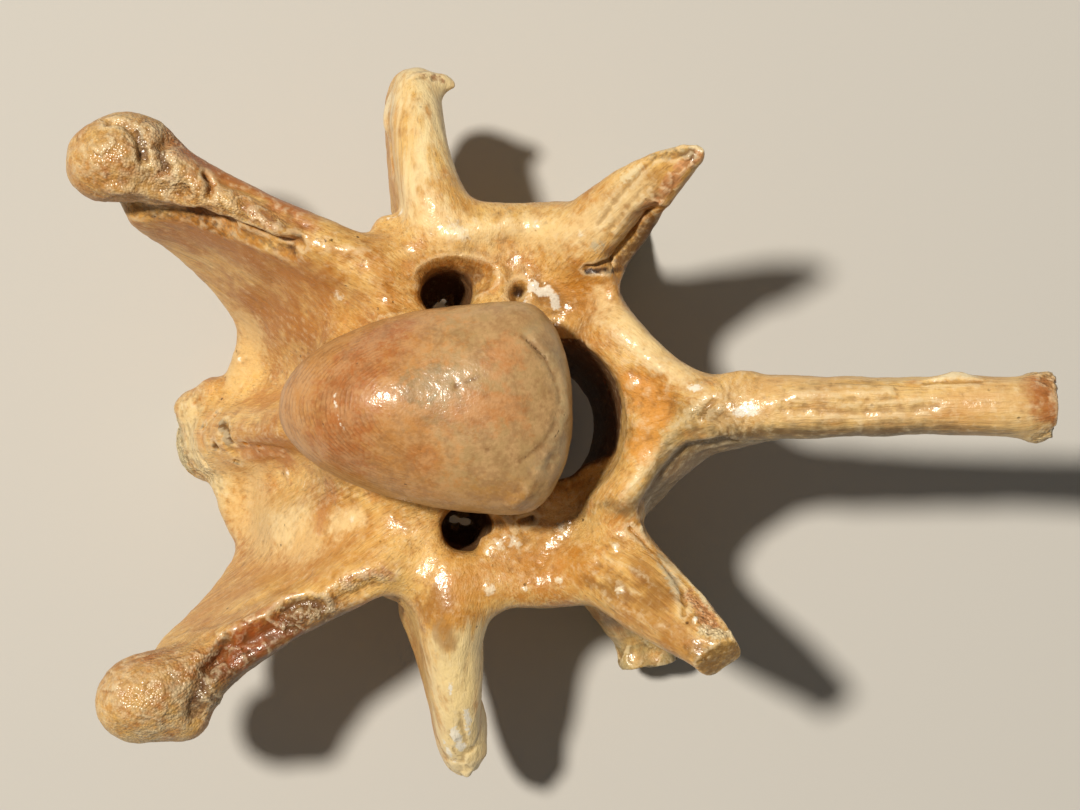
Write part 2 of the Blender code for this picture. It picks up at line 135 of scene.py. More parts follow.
LUMPS = [
    ((-97.5, 3, 10), (6.5, 6.5, 9.0), 0),           # end of the ventral crest
    ((-92, 8, 14), (5.5, 4.5, 8.0), 0),
    ((-40.5, 48.5, 69), (4.2, 4.2, 5.5), 0),        # root of the right tubercle
    ((-26, 88.0, 62), (2.8, 1.5, 2.4), -35),        # its hook
    ((-24.2, 86.2, 62), (1.4, 2.0, 2.0), 15),
    ((24.4, -66.5, 19), (5.6, 4.0, 7.0), -20),      # foot of the left caudal process
    ((30.6, -65.5, 17), (6.2, 4.5, 8.0), -20),
    ((115.3, 9.6, 105), (3.6, 3.2, 5.5), 0),        # corners of the spine's end
    ((115.3, 0.2, 104), (3.6, 3.4, 5.5), 0),
    ((113.8, -2.4, 104.5), (2.8, 2.2, 4.0), 0),
    ((46.5, 11.0, 99), (5.2, 2.2, 3.6), 0),         # swells on the spine's right edge
    ((96, 10.9, 107.5), (7.0, 1.5, 1.8), 0),
    ((34, 62, 110), (3.6, 2.6, 3.0), 40),           # tip of the right wing
    ((-17.8, -78.5, 58), (3.0, 8.5, 3.4), 0),       # dorsal edge of the left tubercle
    ((-17.6, -84.8, 57.5), (2.8, 3.0, 3.0), 0),
    ((-39.6, 78, 57), (2.4, 4.8, 3.6), 0),          # facet of the right tubercle
    ((43.4, -54.6, 105), (2.8, 2.2, 4.5), 33),      # corners of the left wing's broken end
    ((38.8, -57.9, 104), (2.8, 2.0, 4.5), 33),
]
bone = bpy.data.objects.new("bison_vertebra", fused_mesh(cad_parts.values(), LUMPS))
bpy.context.scene.collection.objects.link(bone)
fuse = bone.modifiers.new("fuse", "REMESH")
fuse.mode = "VOXEL"
fuse.voxel_size = FUSED_SPACING * MM
settle(bone)
shrunk = read_points(bone.data) - CUT_CLOSER * facing(bone.data)
write_points(bone.data, evened(shrunk, ties_of(bone.data), EVENING_ROUNDS))
refine = bone.modifiers.new("refine", "SUBSURF")
refine.levels = 1
refine.render_levels = 1
settle(bone)
points = read_points(bone.data)
SPINE_CUT = 119.1       # mm along X, where the spine's end is broken off nearly flat
cap = np.clip((points[:, 0] - SPINE_CUT + 6.1) / 3, 0, 1) * np.clip(facing(bone.data)[:, 0] * 1.6, 0, 1)
points[:, 0] += 0.85 * cap * (SPINE_CUT - points[:, 0])


def hashed(cells, seed):
    """An even random number from 0 to 1 for each cell of a grid, always the same."""
    mixed = cells[..., 0] * 73856093 ^ cells[..., 1] * 19349663 ^ cells[..., 2] * 83492791
    mixed = (mixed ^ seed * 83492791) & 0xFFFFFFFF
    mixed = (mixed ^ mixed >> 15) * 73244475 & 0xFFFFFFFF
    mixed = (mixed ^ mixed >> 13) * 73244475 & 0xFFFFFFFF
    return (mixed ^ mixed >> 16) / 0xFFFFFFFF


def wander(size, seed, where=None):
    """Smooth random swells from -1 to 1, about size millimetres across."""
    place = (points if where is None else where) / size + 31.7 * seed
    cell = np.floor(place).astype(np.int64)
    ease = place - cell
    ease = ease * ease * (3 - 2 * ease)
    total = np.zeros(len(place))
    for corner in product((0, 1), repeat=3):
        weight = np.ones(len(place))
        for axis in range(3):
            weight *= ease[:, axis] if corner[axis] else 1 - ease[:, axis]
        total += weight * hashed(cell + np.array(corner), seed)
    return 2 * total - 1


def rugged(size, seed, where=None):
    """Wander with finer wander on it, down to an eighth of the size."""
    total = np.zeros(len(points if where is None else where))
    for octave in range(4):
        total += wander(size / 2 ** octave, seed + octave, where) / 2 ** octave
    return total / 1.6


def cells_near(size, seed, where):
    """For each place, its nearest random seed point: the way from it in sizes, and its number."""
    place = where / size
    home = np.floor(place).astype(np.int64)
    best = np.full(len(place), 9.0)
    way = np.zeros_like(place)
    number = np.zeros(len(place))
    for step in product((-1, 0, 1), repeat=3):
        cell = home + np.array(step)
        jitter = np.stack([hashed(cell, seed + axis) for axis in range(3)], 1)
        offset = place - cell - jitter
        length = (offset ** 2).sum(1)
        closer = length < best
        best[closer] = length[closer]
        way[closer] = offset[closer]
        number[closer] = hashed(cell[closer], seed + 5)
    return way, number


def laid(path):
    """The path's places, where those with no height of their own lie on top of the skin."""
    places = []
    for spot in path:
        if len(spot) == 2:
            gap = ((points[:, :2] - spot) ** 2).sum(1)
            spot = (*spot, points[gap < gap.min() + 1, 2].max())
        places.append(spot)
    return np.array(places, float)


def closeness(path, width, ragged=0.0, seed=1):
    """1 on the line through the path's places, falling evenly to 0 at width millimetres."""
    path = laid(path)
    room = width * (1 + ragged)
    inside = np.all((points > path.min(0) - room) & (points < path.max(0) + room), axis=1)
    close = points[inside]
    gap = np.full(len(close), 1e9)
    for start, end in zip(path, path[1:] if len(path) > 1 else path):
        along = end - start
        share = (close - start) @ along / max(along @ along, 1e-9)
        foot = start + np.clip(share, 0, 1)[:, None] * along
        gap = np.minimum(gap, np.linalg.norm(close - foot, axis=1))
    if ragged:
        gap = gap + ragged * width * rugged(max(width, 2.0), seed, close)
    found = np.zeros(len(points))
    found[inside] = np.clip(1 - gap / width, 0, 1)
    return found


def nearness(path, width, ragged=0.0, seed=1):
    """Closeness with soft ends, for swells and hollows."""
    share = closeness(path, width, ragged, seed)
    return share * share * (3 - 2 * share)


def raise_by(amount):
    """Moves the skin out by that many millimetres, or in where it is less than 0."""
    global points
    write_points(bone.data, points)
    points = points + facing(bone.data) * amount[:, None]


def granules(mask, size, height, seed):
    """Rounded grains about size across, on the part of the skin that mask names."""
    chosen = mask > 0.02
    way, number = cells_near(size, seed, points[chosen])
    lift = np.zeros(len(points))
    dome = 1 - np.clip((way ** 2).sum(1) * 2.2, 0, 1)
    lift[chosen] = mask[chosen] * height * (dome * (0.5 + 0.5 * number) - 0.35)
    return lift


def chipping(mask, size, height, seed):
    """Small broken faces, each a plane with its own tilt, on the part that mask names."""
    chosen = mask > 0.02
    way, number = cells_near(size, seed, points[chosen])
    tilt = np.stack([np.cos(number * 40), np.sin(number * 57), np.cos(number * 91)], 1)
    lift = np.zeros(len(points))
    lift[chosen] = mask[chosen] * height * np.clip((way * tilt).sum(1) + number - 0.5, -1, 1)
    return lift


def work(first_seed, *strokes):
    """Builds the skin up, or presses it in, along each (height, width, raggedness, path)."""
    total = np.zeros(len(points))
    for turn, (height, width, ragged, path) in enumerate(strokes):
        total += height * nearness(path, width, ragged, first_seed + turn)
    raise_by(total)


def marks(first_seed, *strokes):
    """How much paint, 0 to 1, (width, raggedness, path) strokes leave on the skin."""
    total = np.zeros(len(points))
    for turn, (width, ragged, path) in enumerate(strokes):
        total = np.maximum(total, closeness(path, 1.5 * width, ragged, first_seed + turn))
    return total


# Fossil bone, a dense lime and iron mineral in the shape of the bone, brushed with a clear
# lacquer. It is amber to tan with fine streaks along the fibres, and the lacquer gives it a
# hard, slightly rippled shine. Each part below adds its own stains to this one material.
FIBRE_WIDTH = 0.6       # mm between streaks; real fibres are finer, too fine to show here
FIBRE_LENGTH = 8.0      # mm
lacquered_bone = bpy.data.materials.new("lacquered_fossil_bone")
lacquered_bone.use_nodes = True
tree = lacquered_bone.node_tree
shader = tree.nodes["Principled BSDF"]


def linear(code):
    """An sRGB hex colour as linear red, green, blue and alpha."""
    parts = [int(code[i:i + 2], 16) / 255 for i in (1, 3, 5)]
    return (*[c / 12.92 if c <= 0.04045 else ((c + 0.055) / 1.055) ** 2.4 for c in parts], 1.0)


def add(kind, values, out=0, **settings):
    """Adds a node: values sets inputs by name or number, to a socket or a plain value."""
    made = tree.nodes.new("ShaderNode" + kind)
    for name, value in settings.items():
        setattr(made, name, value)
    for name, value in values.items():
        if isinstance(value, bpy.types.NodeSocket):
            tree.links.new(value, made.inputs[name])
        else:
            made.inputs[name].default_value = value
    return made.outputs[out]


place = add("TexCoord", {}, out="Object")
fibre_place = add("Attribute", {}, out="Vector", attribute_name="fibre_place")


def speckle(size, detail=3.0, vector=None, rough=0.55):
    """Noise from 0 to 1 with features about size millimetres across."""
    scale = 1 / (size * MM)
    return add("TexNoise", {"Vector": vector or place, "Scale": scale, "Detail": detail,
                            "Roughness": rough})


def stepped(value, low, high, top=1.0):
    """0 below low and top above high, with an eased step between."""
    return add("MapRange", {"Value": value, "From Min": low, "From Max": high, "To Max": top},
               interpolation_type="SMOOTHSTEP")


def mixed(first, second, factor):
    """Two colours, each a hex code or a socket, mixed by factor."""
    ends = [linear(one) if isinstance(one, str) else one for one in (first, second)]
    return add("Mix", {0: factor, 6: ends[0], 7: ends[1]}, out=2, data_type="RGBA")


def times(first, second):
    return add("Math", {0: first, 1: second}, operation="MULTIPLY")


masks = {}


def coverage(name):
    """How far the mask of that name covers each place. One attribute carries three masks."""
    number = list(masks).index(name)
    trio = add("Attribute", {}, out="Vector", attribute_name="masks_%d" % (number // 3))
    return add("SeparateXYZ", {0: trio}, out=number % 3)


def stain(name, code, amount, strength=1.0, patchy=0.5, size=1.6, vector=None, soft=0.3):
    """Paints a colour where amount is high; patchy breaks its edge up with small speckles."""
    global colour
    masks[name] = np.clip(amount, 0, 1)
    found = coverage(name)
    noise = speckle(size, 3.0, vector)
    push = add("MapRange", {"Value": noise, "From Min": 0.25, "From Max": 0.75,
                            "To Min": -patchy / 2, "To Max": patchy / 2})
    edge = add("Math", {0: found, 1: push}, operation="ADD")
    share = times(stepped(edge, 0.5 - soft, 0.5 + soft), stepped(found, 0.02, 0.2, strength))
    colour = mixed(colour, code, share)


fibres = speckle(1.0, 3.0, fibre_place, 0.62)
fine_fibres = speckle(0.42, 2.0, fibre_place, 0.6)
colour = mixed("#c98a3c", "#ecbf6f", stepped(speckle(15.0, 3.0), 0.34, 0.62))
colour = mixed(colour, "#f4d693", times(stepped(fibres, 0.42, 0.68), 0.5))
colour = mixed(colour, "#b3762c", times(stepped(speckle(4.5, 4.0), 0.46, 0.74), 0.6))
colour = mixed(colour, "#cf8136", times(stepped(speckle(7.5, 3.0), 0.58, 0.72), 0.45))
colour = mixed(colour, "#8a5c2b", times(stepped(fine_fibres, 0.5, 0.74), 0.52))
colour = mixed(colour, "#fae6b8", times(stepped(speckle(1.2, 3.0), 0.56, 0.76), 0.35))

# Which way the bone's fibres run: along each process, and up and down the body. Streaks and
# striations follow this, because they are drawn on places squeezed along the fibres.
FIBRE_WAYS = [
    ((36, 3, 92), (119, 4, 106), 12),       # the spine
    ((-28, 48, 62), (-30, 90, 58), 11),     # the right and left tubercles
    ((-24, -42, 62), (-20, -90, 58), 11),
    ((-50, 36, 60), (-106, 64, 78), 18),    # the right and left plates
    ((-48, -32, 60), (-100, -68, 78), 18),
    ((8, 38, 76), (36, 62, 110), 10),       # the right and left wings
    ((12, -34, 76), (41, -56, 106), 10),
    ((16, 22, 84), (38, 5, 100), 8),        # the arch's two ridges
    ((18, -22, 84), (38, 0, 100), 8),
    ((-96, -4, 12), (-66, -2, 66), 16),     # the ventral crest
    ((12, 42, 40), (26, 56, 4), 11),        # the right and left caudal processes
    ((14, -40, 40), (30, -64, 4), 11),
    ((8, 20, 20), (8, 20, 70), 12),         # the canal's walls
    ((8, -18, 20), (8, -18, 70), 12),
]
squeezed = np.zeros_like(points)
total_pull = np.zeros(len(points))
for start, end, reach in FIBRE_WAYS:
    start, end = np.array(start, float), np.array(end, float)
    way = (end - start) / np.linalg.norm(end - start)
    share = np.clip((points - start) @ way, 0, np.linalg.norm(end - start))
    gap = np.linalg.norm(points - start - share[:, None] * way, axis=1)
    pull = 1 / (0.02 + (gap / reach) ** 4)
    along = ((points - start) @ way)[:, None] * way
    squeezed += pull[:, None] * (points - (1 - FIBRE_WIDTH / FIBRE_LENGTH) * along)
    total_pull += pull
squeezed /= total_pull[:, None]

# The cranial head, the smooth egg-shaped dome that turned in the bone in front. Its cartilage
# bed wore to fine rings along the rim, grey brown with red iron stain, and a sharp neck
# undercuts it all round. A hairline crack follows its dorsal lip.
HEAD_MIDDLE = np.array((-6.8, 3.9))
HEAD_LONG = 59.0        # mm from the middle to the ventral point
HEAD_SHORT = 13.0       # mm from the middle to the dorsal lip
HEAD_HALF = 25.6        # mm from the middle to either side
RING_GAP = 1.15         # mm between two rings
NECK_DROP = 8.0         # mm from the rim down to the deepest line of the neck


def rim_height(x):
    """Height of the head's rim, which rises from the ventral point to the dorsal lip."""
    return 89 + 15 * np.clip((x + 65.8) / 72, 0, None) ** 1.4


flat = points[:, :2] - HEAD_MIDDLE
reach = np.where(flat[:, 0] > 0, HEAD_SHORT, HEAD_LONG)
egg = np.sqrt((flat[:, 0] / reach) ** 2 + (flat[:, 1] / HEAD_HALF) ** 2)
over_rim = points[:, 2] - rim_height(points[:, 0])
on_head = np.clip((1.08 - egg) / 0.06, 0, 1) * np.clip((over_rim + 4.5) / 3, 0, 1)
NECK = []
for step in range(73):
    turn = 2 * pi * step / 72
    reach = HEAD_SHORT if cos(turn) > 0 else HEAD_LONG
    x = HEAD_MIDDLE[0] + (reach - 1.5) * cos(turn)
    y = HEAD_MIDDLE[1] + (HEAD_HALF - 1.5) * sin(turn)
    NECK.append((x, y, rim_height(x) - NECK_DROP))
LIP_CRACK = [(-5.8, 20.7), (-0.2, 15.1), (2.2, 9.5), (2.9, 6.5), (2.4, 3), (1.4, -1),
             (-1, -4.6), (-3.4, -6.6), (-6.5, -8.6)]
work(1, (-1.5, 4.0, 0, NECK), (1.6, 21, 0, [(-44, 3)]), (-0.3, 1.0, 0.35, LIP_CRACK),
     (0.35, 2.2, 0.4, [(-3, 20.2), (2.2, 14.8), (4.4, 9), (4.8, 3), (3.2, -2.4), (0, -7)]),
     (-0.35, 1.2, 0.3, [(-21.1, 9)]), (-0.15, 0.9, 0.3, [(-19.5, 9.6), (-16, 11)]),
     (-0.3, 1.0, 0.3, [(-14, -6)]),
     (0.8, 3.0, 0.3, [(-1, -12), (-8, -19)]), (-0.5, 2.6, 0.3, [(1.8, -8), (-2.4, -14.5)]))
raise_by(on_head * (0.4 * wander(15, 5) + 0.2 * rugged(5, 6) + 0.07 * rugged(1.8, 7)))

# The canal and the two transverse foramina, round channels right through the bone for the
# spinal cord and the vertebral arteries. Their mouths keep a crisp lip, and soil stained
# their walls dark. A small nerve hole lies beside the right one, ringed with white crust.
CANAL_LIP = [(3.1, 21.3, 87), (11.1, 17.9, 87), (16.7, 11.6, 87.5), (19.7, 2.5, 88),
             (18.4, -6.2, 88), (13.6, -13.5, 87), (8.0, -18.4, 86), (3.1, -21.6, 85)]
CRUST = [(1.7, 0.35, [(-5.8, 30.8), (-4.6, 33), (-3.0, 34.4)]),
         (1.8, 0.35, [(-3.0, 34.4), (-1.9, 32.4), (0.2, 33.0), (1.9, 31.2), (2.1, 29)])]
work(20, (0.6, 3.0, 0.1, CANAL_LIP), (5.0, 10, 0.05, [(-2, -20, 72), (5, -18.5, 72), (12, -14, 72)]),
     (0.3, 3.0, 0.2, [(-33, 38), (-24, 41.6), (-14, 39.6)]), (0.9, 3.4, 0.2, [(-12.3, 36.5), (-11, 31)]),
     (2.2, 5.0, 0.05, [(-14.8, -30.2, 76)]), (-1.6, 3.4, 0.1, [(-12.5, -25.5)]),
     (5.4, 14, 0.0, [(-35, 33, 42)]), (5.4, 14, 0.0, [(-20, 31, 40)]), (4.4, 13, 0.0, [(-13, -24, 44)]),
     (4.0, 12, 0.0, [(-27, -26, 40)]),
     (4.2, 11, 0.0, [(-29, 42, 42)]), (5.2, 11, 0.0, [(-22.5, -36, 42)]),
     (4.2, 11, 0.0, [(-22.5, -19, 42)]),
     (-5.4, 3.2, 0.05, [(-6.9, 32.8), (-6.9, 31.8)]),
     (-1.8, 1.7, 0.2, [(-4.0, -23.8), (-6.4, -24.6)]), (0.6, 1.6, 0.3, [(-10, -23.5), (-8, -27)]),
     (-0.7, 5.0, 0.2, [(-10, 44), (2, 42)]), (0.9, 4.5, 0.2, [(-24, 46), (-10, 49)]),
     *[(0.45, width, ragged, path) for width, ragged, path in CRUST])
# The right foramen opens in an oval funnel, longer than the channel below it.
FUNNEL_MIDDLE = (-22.5, 36.2)
FUNNEL_HALF = (10.5, 5.4)
FUNNEL_DEPTH = 5.5
funnel = np.clip(1 - (((points[:, :2] - FUNNEL_MIDDLE) / FUNNEL_HALF) ** 2).sum(1), 0, 1)
on_top = np.clip((points[:, 2] - 64) / 8, 0, 1) * np.clip((86 - points[:, 2]) / 2, 0, 1)
points[:, 2] -= FUNNEL_DEPTH * funnel * on_top
write_points(bone.data, points)
outward = facing(bone.data)


def hole_wall(x, y, radius):
    """How far a point lies on the wall of an upright channel."""
    flat = np.array((x, y)) - points[:, :2]
    gap = np.linalg.norm(flat, axis=1)
    turned = (outward[:, :2] * flat).sum(1) / np.maximum(gap, 1)
    return np.clip((turned - 0.2) / 0.3, 0, 1) * np.clip((radius - gap) / 1.5, 0, 1)


in_canal = hole_wall(0.5, -0.8, 24) * np.clip((82 + 0.35 * points[:, 1] - points[:, 2]) / 6, 0, 1)
in_foramina = hole_wall(-25, 32.3, 12) + hole_wall(-20, -26.4, 11.5)
in_foramina *= np.clip((76 - points[:, 2]) / 5, 0, 1)
stain("deep_amber", "#b8741a", marks(40, (12, 0.3, [(-58, 35), (-72, 40), (-86, 46)]),
      (12, 0.3, [(-64, 24), (-76, 30)]), (8, 0.3, [(-66, -4, 62), (-76, -10, 50)])),
      0.95, 0.8, 3.5, soft=0.5)
stain("light_amber", "#c98830", marks(45, (12, 0.3, [(-54, -32), (-66, -34), (-82, -44)]),
      (7, 0.3, [(-6, -33), (8, -34)]),
      (7, 0.3, [(6, 30), (12, 33)]), (8, 0.3, [(-22, -40), (-26, -48)])), 0.65, 0.8, 2.2, soft=0.5)
# Painted shade in the upper part of the right foramen's funnel and beside the left foramen.
stain("funnel_painted_shade", "#6f4a28", marks(48, (2.6, 0.3, [(-30, 36.0), (-25, 37.6), (-18, 36.8)]),
      (2.0, 0.2, [(-13, -25.5)])), 0.75, 0.5, 1.6)
stain("soil", "#7a5636", in_canal + np.clip(in_foramina, 0, 1), 1.0, 0.4, 2.2)
# Painted shade inside the small nerve hole and inside a small hole near the left foramen.
stain("nerve_hole_painted_shade", "#33200f", marks(50, (1.9, 0, [(-6.9, 32.8, 81), (-6.9, 32.2, 70)]),
      (1.3, 0.2, [(-4.0, -23.8)])), 1.0, 0.2, 0.9)
stain("head_brown", "#c88f50", on_head, 1.0, 0.2, 2.2)
stain("head_grey", "#b39a6c", on_head * np.clip((points[:, 0] + 38) / 26, 0, 1), 0.75, 0.8, 2.2)
stain("head_red", "#b0642f", on_head * marks(52, (9, 0.3, [(-49, -8), (-48, 3), (-48, 10), (-39, 20)])),
      0.7, 0.8, 2.2)
stain("head_orange", "#cc7f3c", on_head * marks(54, (5, 0.4, [(-11, 17)]), (6, 0.4, [(-9, 4), (-17, 3)]),
      (5, 0.4, [(-30, -8)])), 0.6, 0.9, 2.2)
stain("head_green", "#82805f", on_head * marks(57, (6, 0.4, [(-31, 8), (-24, 9)])), 0.55, 0.8, 1.6)
stain("head_lip", "#c2ac82", on_head * marks(58, (4.6, 0.3, [(-2, 21), (3.4, 14), (5.2, 6), (4.4, -2),
      (0, -9)])), 0.75, 0.6, 1.2)
stain("head_low", "#c28a3e", on_head * marks(59, (8, 0.3, [(-46, -15), (-28, -20), (-10, -19)])),
      0.65, 0.7, 2.2)
stain("head_mottle", "#d8ae7c", on_head * (0.5 + 0.6 * rugged(2.2, 58)), 0.45, 0.6, 0.9)
stain("head_dark", "#8c5f37", on_head * (0.4 + 0.6 * rugged(3.0, 61)), 0.4, 0.7, 1.2)
stain("head_pit", "#7d5734", marks(60, (0.9, 0.3, [(-21.1, 9)]), (0.4, 0.4, [(-19.5, 9.6), (-16.5, 10.6)])),
      0.5, 0.6, 0.9)

# The ventral plates, which slope from the body to two rough knobs where neck muscles pulled.
# Their thick upper edge is ragged and partly broken, with dark hollows under its overhang.
LEDGE_RIGHT = [(-93, 60, 83), (-86, 56.5, 82.5), (-79, 54, 82), (-73, 51.5, 81.5), (-67, 48, 81)]
UNDER_LEDGE = [(-109, 53, 72), (-99, 50.2, 73), (-88, 50.4, 75), (-83, 48.2, 75.5), (-75, 45, 76.5),
               (-64, 43, 78)]
knobs = np.clip(nearness([(-105, 66, 79), (-98, 67, 79)], 21)
                + nearness([(-98, -68, 79), (-88, -64, 79)], 21), 0, 1)
work(101,
     (-4.2, 6.2, 0.12, UNDER_LEDGE[:4]), (-2.2, 4.0, 0.15, UNDER_LEDGE[3:]),
     (1.7, 3.2, 0.15, [(-106.4, 57), (-101.4, 57.2), (-97, 56), (-90.8, 54.6), (-85.4, 55)]),
     (2.2, 6.0, 0.15, [(-92, 63.5), (-86.5, 59.5)]), (1.0, 3.4, 0.2, [(-85, 58)]),
     (-1.9, 2.4, 0.3, [(-107.1, 74.3), (-103.3, 74), (-100.5, 71.8), (-99.3, 69), (-98.6, 65)]),
     (1.2, 4.0, 0.2, [(-97, 72.4)]), (-1.4, 1.4, 0.2, [(-97.7, 72.1)]),
     (-2.0, 2.6, 0.3, [(-91.5, 70.5), (-94.7, 67.4), (-94.4, 65.2), (-93.4, 62.6)]),
     (-2.2, 1.6, 0.3, [(-84.2, 61), (-82.6, 58.6), (-83, 56.6)]),
     (1.9, 4.4, 0.2, [(-82, 55.8), (-77.2, 54), (-72.4, 51.6), (-68.4, 48.6), (-64.6, 46.8)]),
     (-1.0, 3.6, 0.3, [(-80, 60.2), (-73, 57.2), (-67, 52.6), (-60, 49)]),
     (-2.6, 3.0, 0.2, [(-79, 50.2, 78), (-73, 47.4, 79), (-66.5, 44.6, 80), (-62, 44.4)]),
     (-1.0, 2.2, 0.3, [(-75.4, 54.4), (-74.4, 51)]), (0.8, 2.0, 0.3, [(-66, 48.4)]),
     (0.6, 3.4, 0.3, [(-57, 43.4), (-46, 42.5)]))
BREAK_LEFT = [(-80.5, -58.5), (-76, -56), (-70.5, -52.6), (-65, -49.6)]
ROUGH_LEFT = [(-64, -48.5), (-59, -47.2), (-54, -45.2)]
broken_left = marks(121, (5.2, 0.15, BREAK_LEFT))
work(122,
     (0.8, 4.0, 0.2, [(-92, -53), (-84.5, -51.5), (-78, -50.3)]),
     (0.5, 3.0, 0.3, [(-77.5, -50.6), (-71.5, -46.9), (-67.2, -44.2), (-62.8, -41.6)]),
     (-2.4, 5.6, 0.1, BREAK_LEFT),
     (-2.2, 3.2, 0.2, [(-79.2, -53.4), (-81.2, -57.5), (-82.8, -60.5)]),
     (-1.8, 4.2, 0.2, [(-83.5, -59.5), (-85, -64), (-86.4, -68), (-86.2, -72)]),
     (-1.6, 3.0, 0.25, [(-66.2, -47.0), (-63.6, -44.8), (-59.6, -44.2), (-56.1, -44.8)]),
     (0.9, 3.4, 0.4, [(-60.2, -47.4)]),
     (0.6, 4.0, 0.3, [(-53.8, -42.0), (-49.4, -38.3), (-44, -36.6), (-38, -37.2)]),
     (-1.4, 3.6, 0.3, [(-52, -43.6), (-43, -40.4)]),
     (-1.4, 5.0, 0.2, [(-92, -48.5, 68), (-78, -43.5, 72), (-62, -36.5, 74)]))
ledges = marks(140, (3.4, 0.3, LEDGE_RIGHT), (3.6, 0.3, ROUGH_LEFT), (2.2, 0.3, [(-50, -40), (-40, -38.4)]))
raise_by(chipping(broken_left, 5.0, 0.7, 142) + chipping(knobs, 5.5, 0.35, 143)
         + knobs * (0.9 * rugged(8, 144) + 0.16 * rugged(1.6, 149)))
raise_by(chipping(ledges, 3.6, 0.4, 145) + ledges * 0.4 * rugged(3.4, 146))
stain("knob_tan", "#c59c5c", knobs, 0.8, 0.6, 1.6)
stain("knob_orange", "#ac6224", knobs * (0.5 + 0.9 * rugged(13, 147)), 0.85, 0.9, 3.5, soft=0.5)
stain("knob_olive", "#8d7644", knobs * (0.3 + 0.9 * rugged(11, 153)), 0.7, 0.9, 2.2, soft=0.5)
stain("knob_cream", "#f3e2ba", knobs * (0.35 + 0.9 * rugged(10, 148)), 0.72, 0.9, 2.2, soft=0.5)
stain("flank_red", "#ae6430", marks(150, (6, 0.3, [(-88, 67, 79), (-78, 62, 79), (-70, 57.5, 79),
      (-62, 53, 79)])), 0.85, 0.9, 2.2, fibre_place, 0.5)
stain("ledge_pink", "#b9815a", marks(152, (3.0, 0.3, [(-74, 53), (-67, 48)]),
      (1.2, 0.4, [(-77.5, -50.8), (-71.5, -47.1), (-62.8, -41.8)]),
      (1.6, 0.5, [(-49.4, -38.7), (-44, -36.8), (-38, -37.6)])), 0.7, 0.8, 1.2)
stain("left_break", "#a4531a", marks(156, (5.4, 0.25, [(x + 0.4, y - 0.8) for x, y in BREAK_LEFT])),
      1.0, 0.5, 2.2)
# Real brown on the rough patch past the break, and painted shade in the groove beside the left knob and on
# the knob's shaded face.
stain("left_brown_and_shade", "#7f5a36", marks(158, (3.6, 0.3, ROUGH_LEFT),
      (1.6, 0.3, [(-79.2, -52.6), (-82.6, -57.8)]), (3, 0.3, [(-84.4, -62), (-86.6, -70)])), 0.8, 0.7, 0.9)
# The left plate's outer flank: grey brown along its fibres, and darkened further as painted shade, since it
# faces away from the key.
stain("left_outer_brown_and_shade", "#644a2c", marks(160, (7.0, 0.2, [(-80, -65, 78), (-66, -56.5, 77), (-52, -49.5, 75)])),
      0.85, 0.9, 3.5, soft=0.5)
stain("under_shade", "#3d2817", marks(162, (5.4, 0.2, UNDER_LEDGE[:4]), (2.4, 0.3, UNDER_LEDGE[3:]),
      (1.8, 0.2, [(-61.8, 45.6)])), 0.9, 0.5, 1.2)
stain("groove_shade", "#5c3c22", marks(165, (1.8, 0.3, [(-65.2, -46.0), (-62.6, -44.6), (-57.1, -44.6)]),
      (1.2, 0.2, [(-84.2, 61), (-82.6, 58.6), (-83, 56.6)]),
      (1.3, 0.2, [(-98.6, 65), (-99.3, 69), (-100.5, 71.8)]),
      (1.2, 0.2, [(-94.7, 67.4), (-93.4, 62.6)]), (1.2, 0.3, [(-79.4, -54), (-82, -59)]),
      (1.4, 0.3, [(-84, -61), (-86.2, -68)])), 0.8, 0.6, 1.2)

# The ventral crest ends in a tubercle that lies on the floor: a pale worn facet at its end,
# open spongy pits above it, and a keel that runs up the body to the head.
KEEL = [(-91, -5.0, 32), (-83.5, -3.4), (-77.7, -2.8), (-69, -2.8)]
crest_end = nearness([(-104, 4, 6), (-103, -9, 8)], 11)
crest_bumps = nearness([(-99, -12, 10), (-95, -16, 13), (-92, -11, 22)], 8, 0.2, 171)
PITS = [(1.6, 0.3, [(-86.9, -0.4), (-86.2, -1.6)]), (1.5, 0.3, [(-85.0, -3.4), (-84.6, -5.2)]),
        (1.2, 0.3, [(-89.2, -6.7)]), (1.0, 0.3, [(-83.4, -11.4)]), (1.0, 0.3, [(-90, 3.0)]),
        (0.9, 0.3, [(-80.4, -6.6)]), (1.0, 0.3, [(-94, -1)]), (0.8, 0.3, [(-76, -8)])]
work(172, (0.7, 4.0, 0.4, KEEL), (-1.3, 4.4, 0.2, [(-84, -8.2), (-77, -8.2), (-69.4, -8)]),
     *[(-2.2, 1.8 * width, ragged, path) for width, ragged, path in PITS],
     (-1.5, 1.5, 0.3, [(-96, -9), (-93.5, -12.5)]), (-1.3, 1.3, 0.3, [(-98, -14), (-94, -16.5)]),
     (0.6, 1.9, 0.1, [(-75, 12)]), (-0.7, 1.0, 0, [(-75, 12)]), (0.5, 2.4, 0.2, [(-68.5, -13.5)]),
     (0.5, 1.6, 0.2, [(-84, 17)]))
crest_rim = nearness([(-100, 8, 20), (-100, -5, 20), (-96, -12, 20), (-90, -17, 22)], 9, 0.2, 194)
raise_by(granules(crest_bumps, 2.8, 0.7, 190) + chipping(crest_end, 3.4, 0.5, 191)
         + crest_end * 0.5 * rugged(5, 192)
         + crest_rim * (0.9 * rugged(5, 195) + 0.3 * rugged(1.8, 197)))
stain("crest_cream", "#efcb8a", marks(193, (10, 0.3, [(-98, -2, 16), (-92, -14, 22), (-86, -26, 30)]),
      (10, 0.3, [(-62, -30, 62), (-80, -26, 34)]),
      (8, 0.3, [(-84, 14, 24), (-80, 24, 34)]), (5, 0.3, [(-79, -12), (-81, -20)])), 0.75, 0.7, 2.2)
stain("facet_pale", "#ddd3a6", crest_end, 0.75, 0.7, 1.6)
stain("rim_cream", "#f3dfa8", crest_rim, 0.6, 0.9, 2.2, soft=0.5)
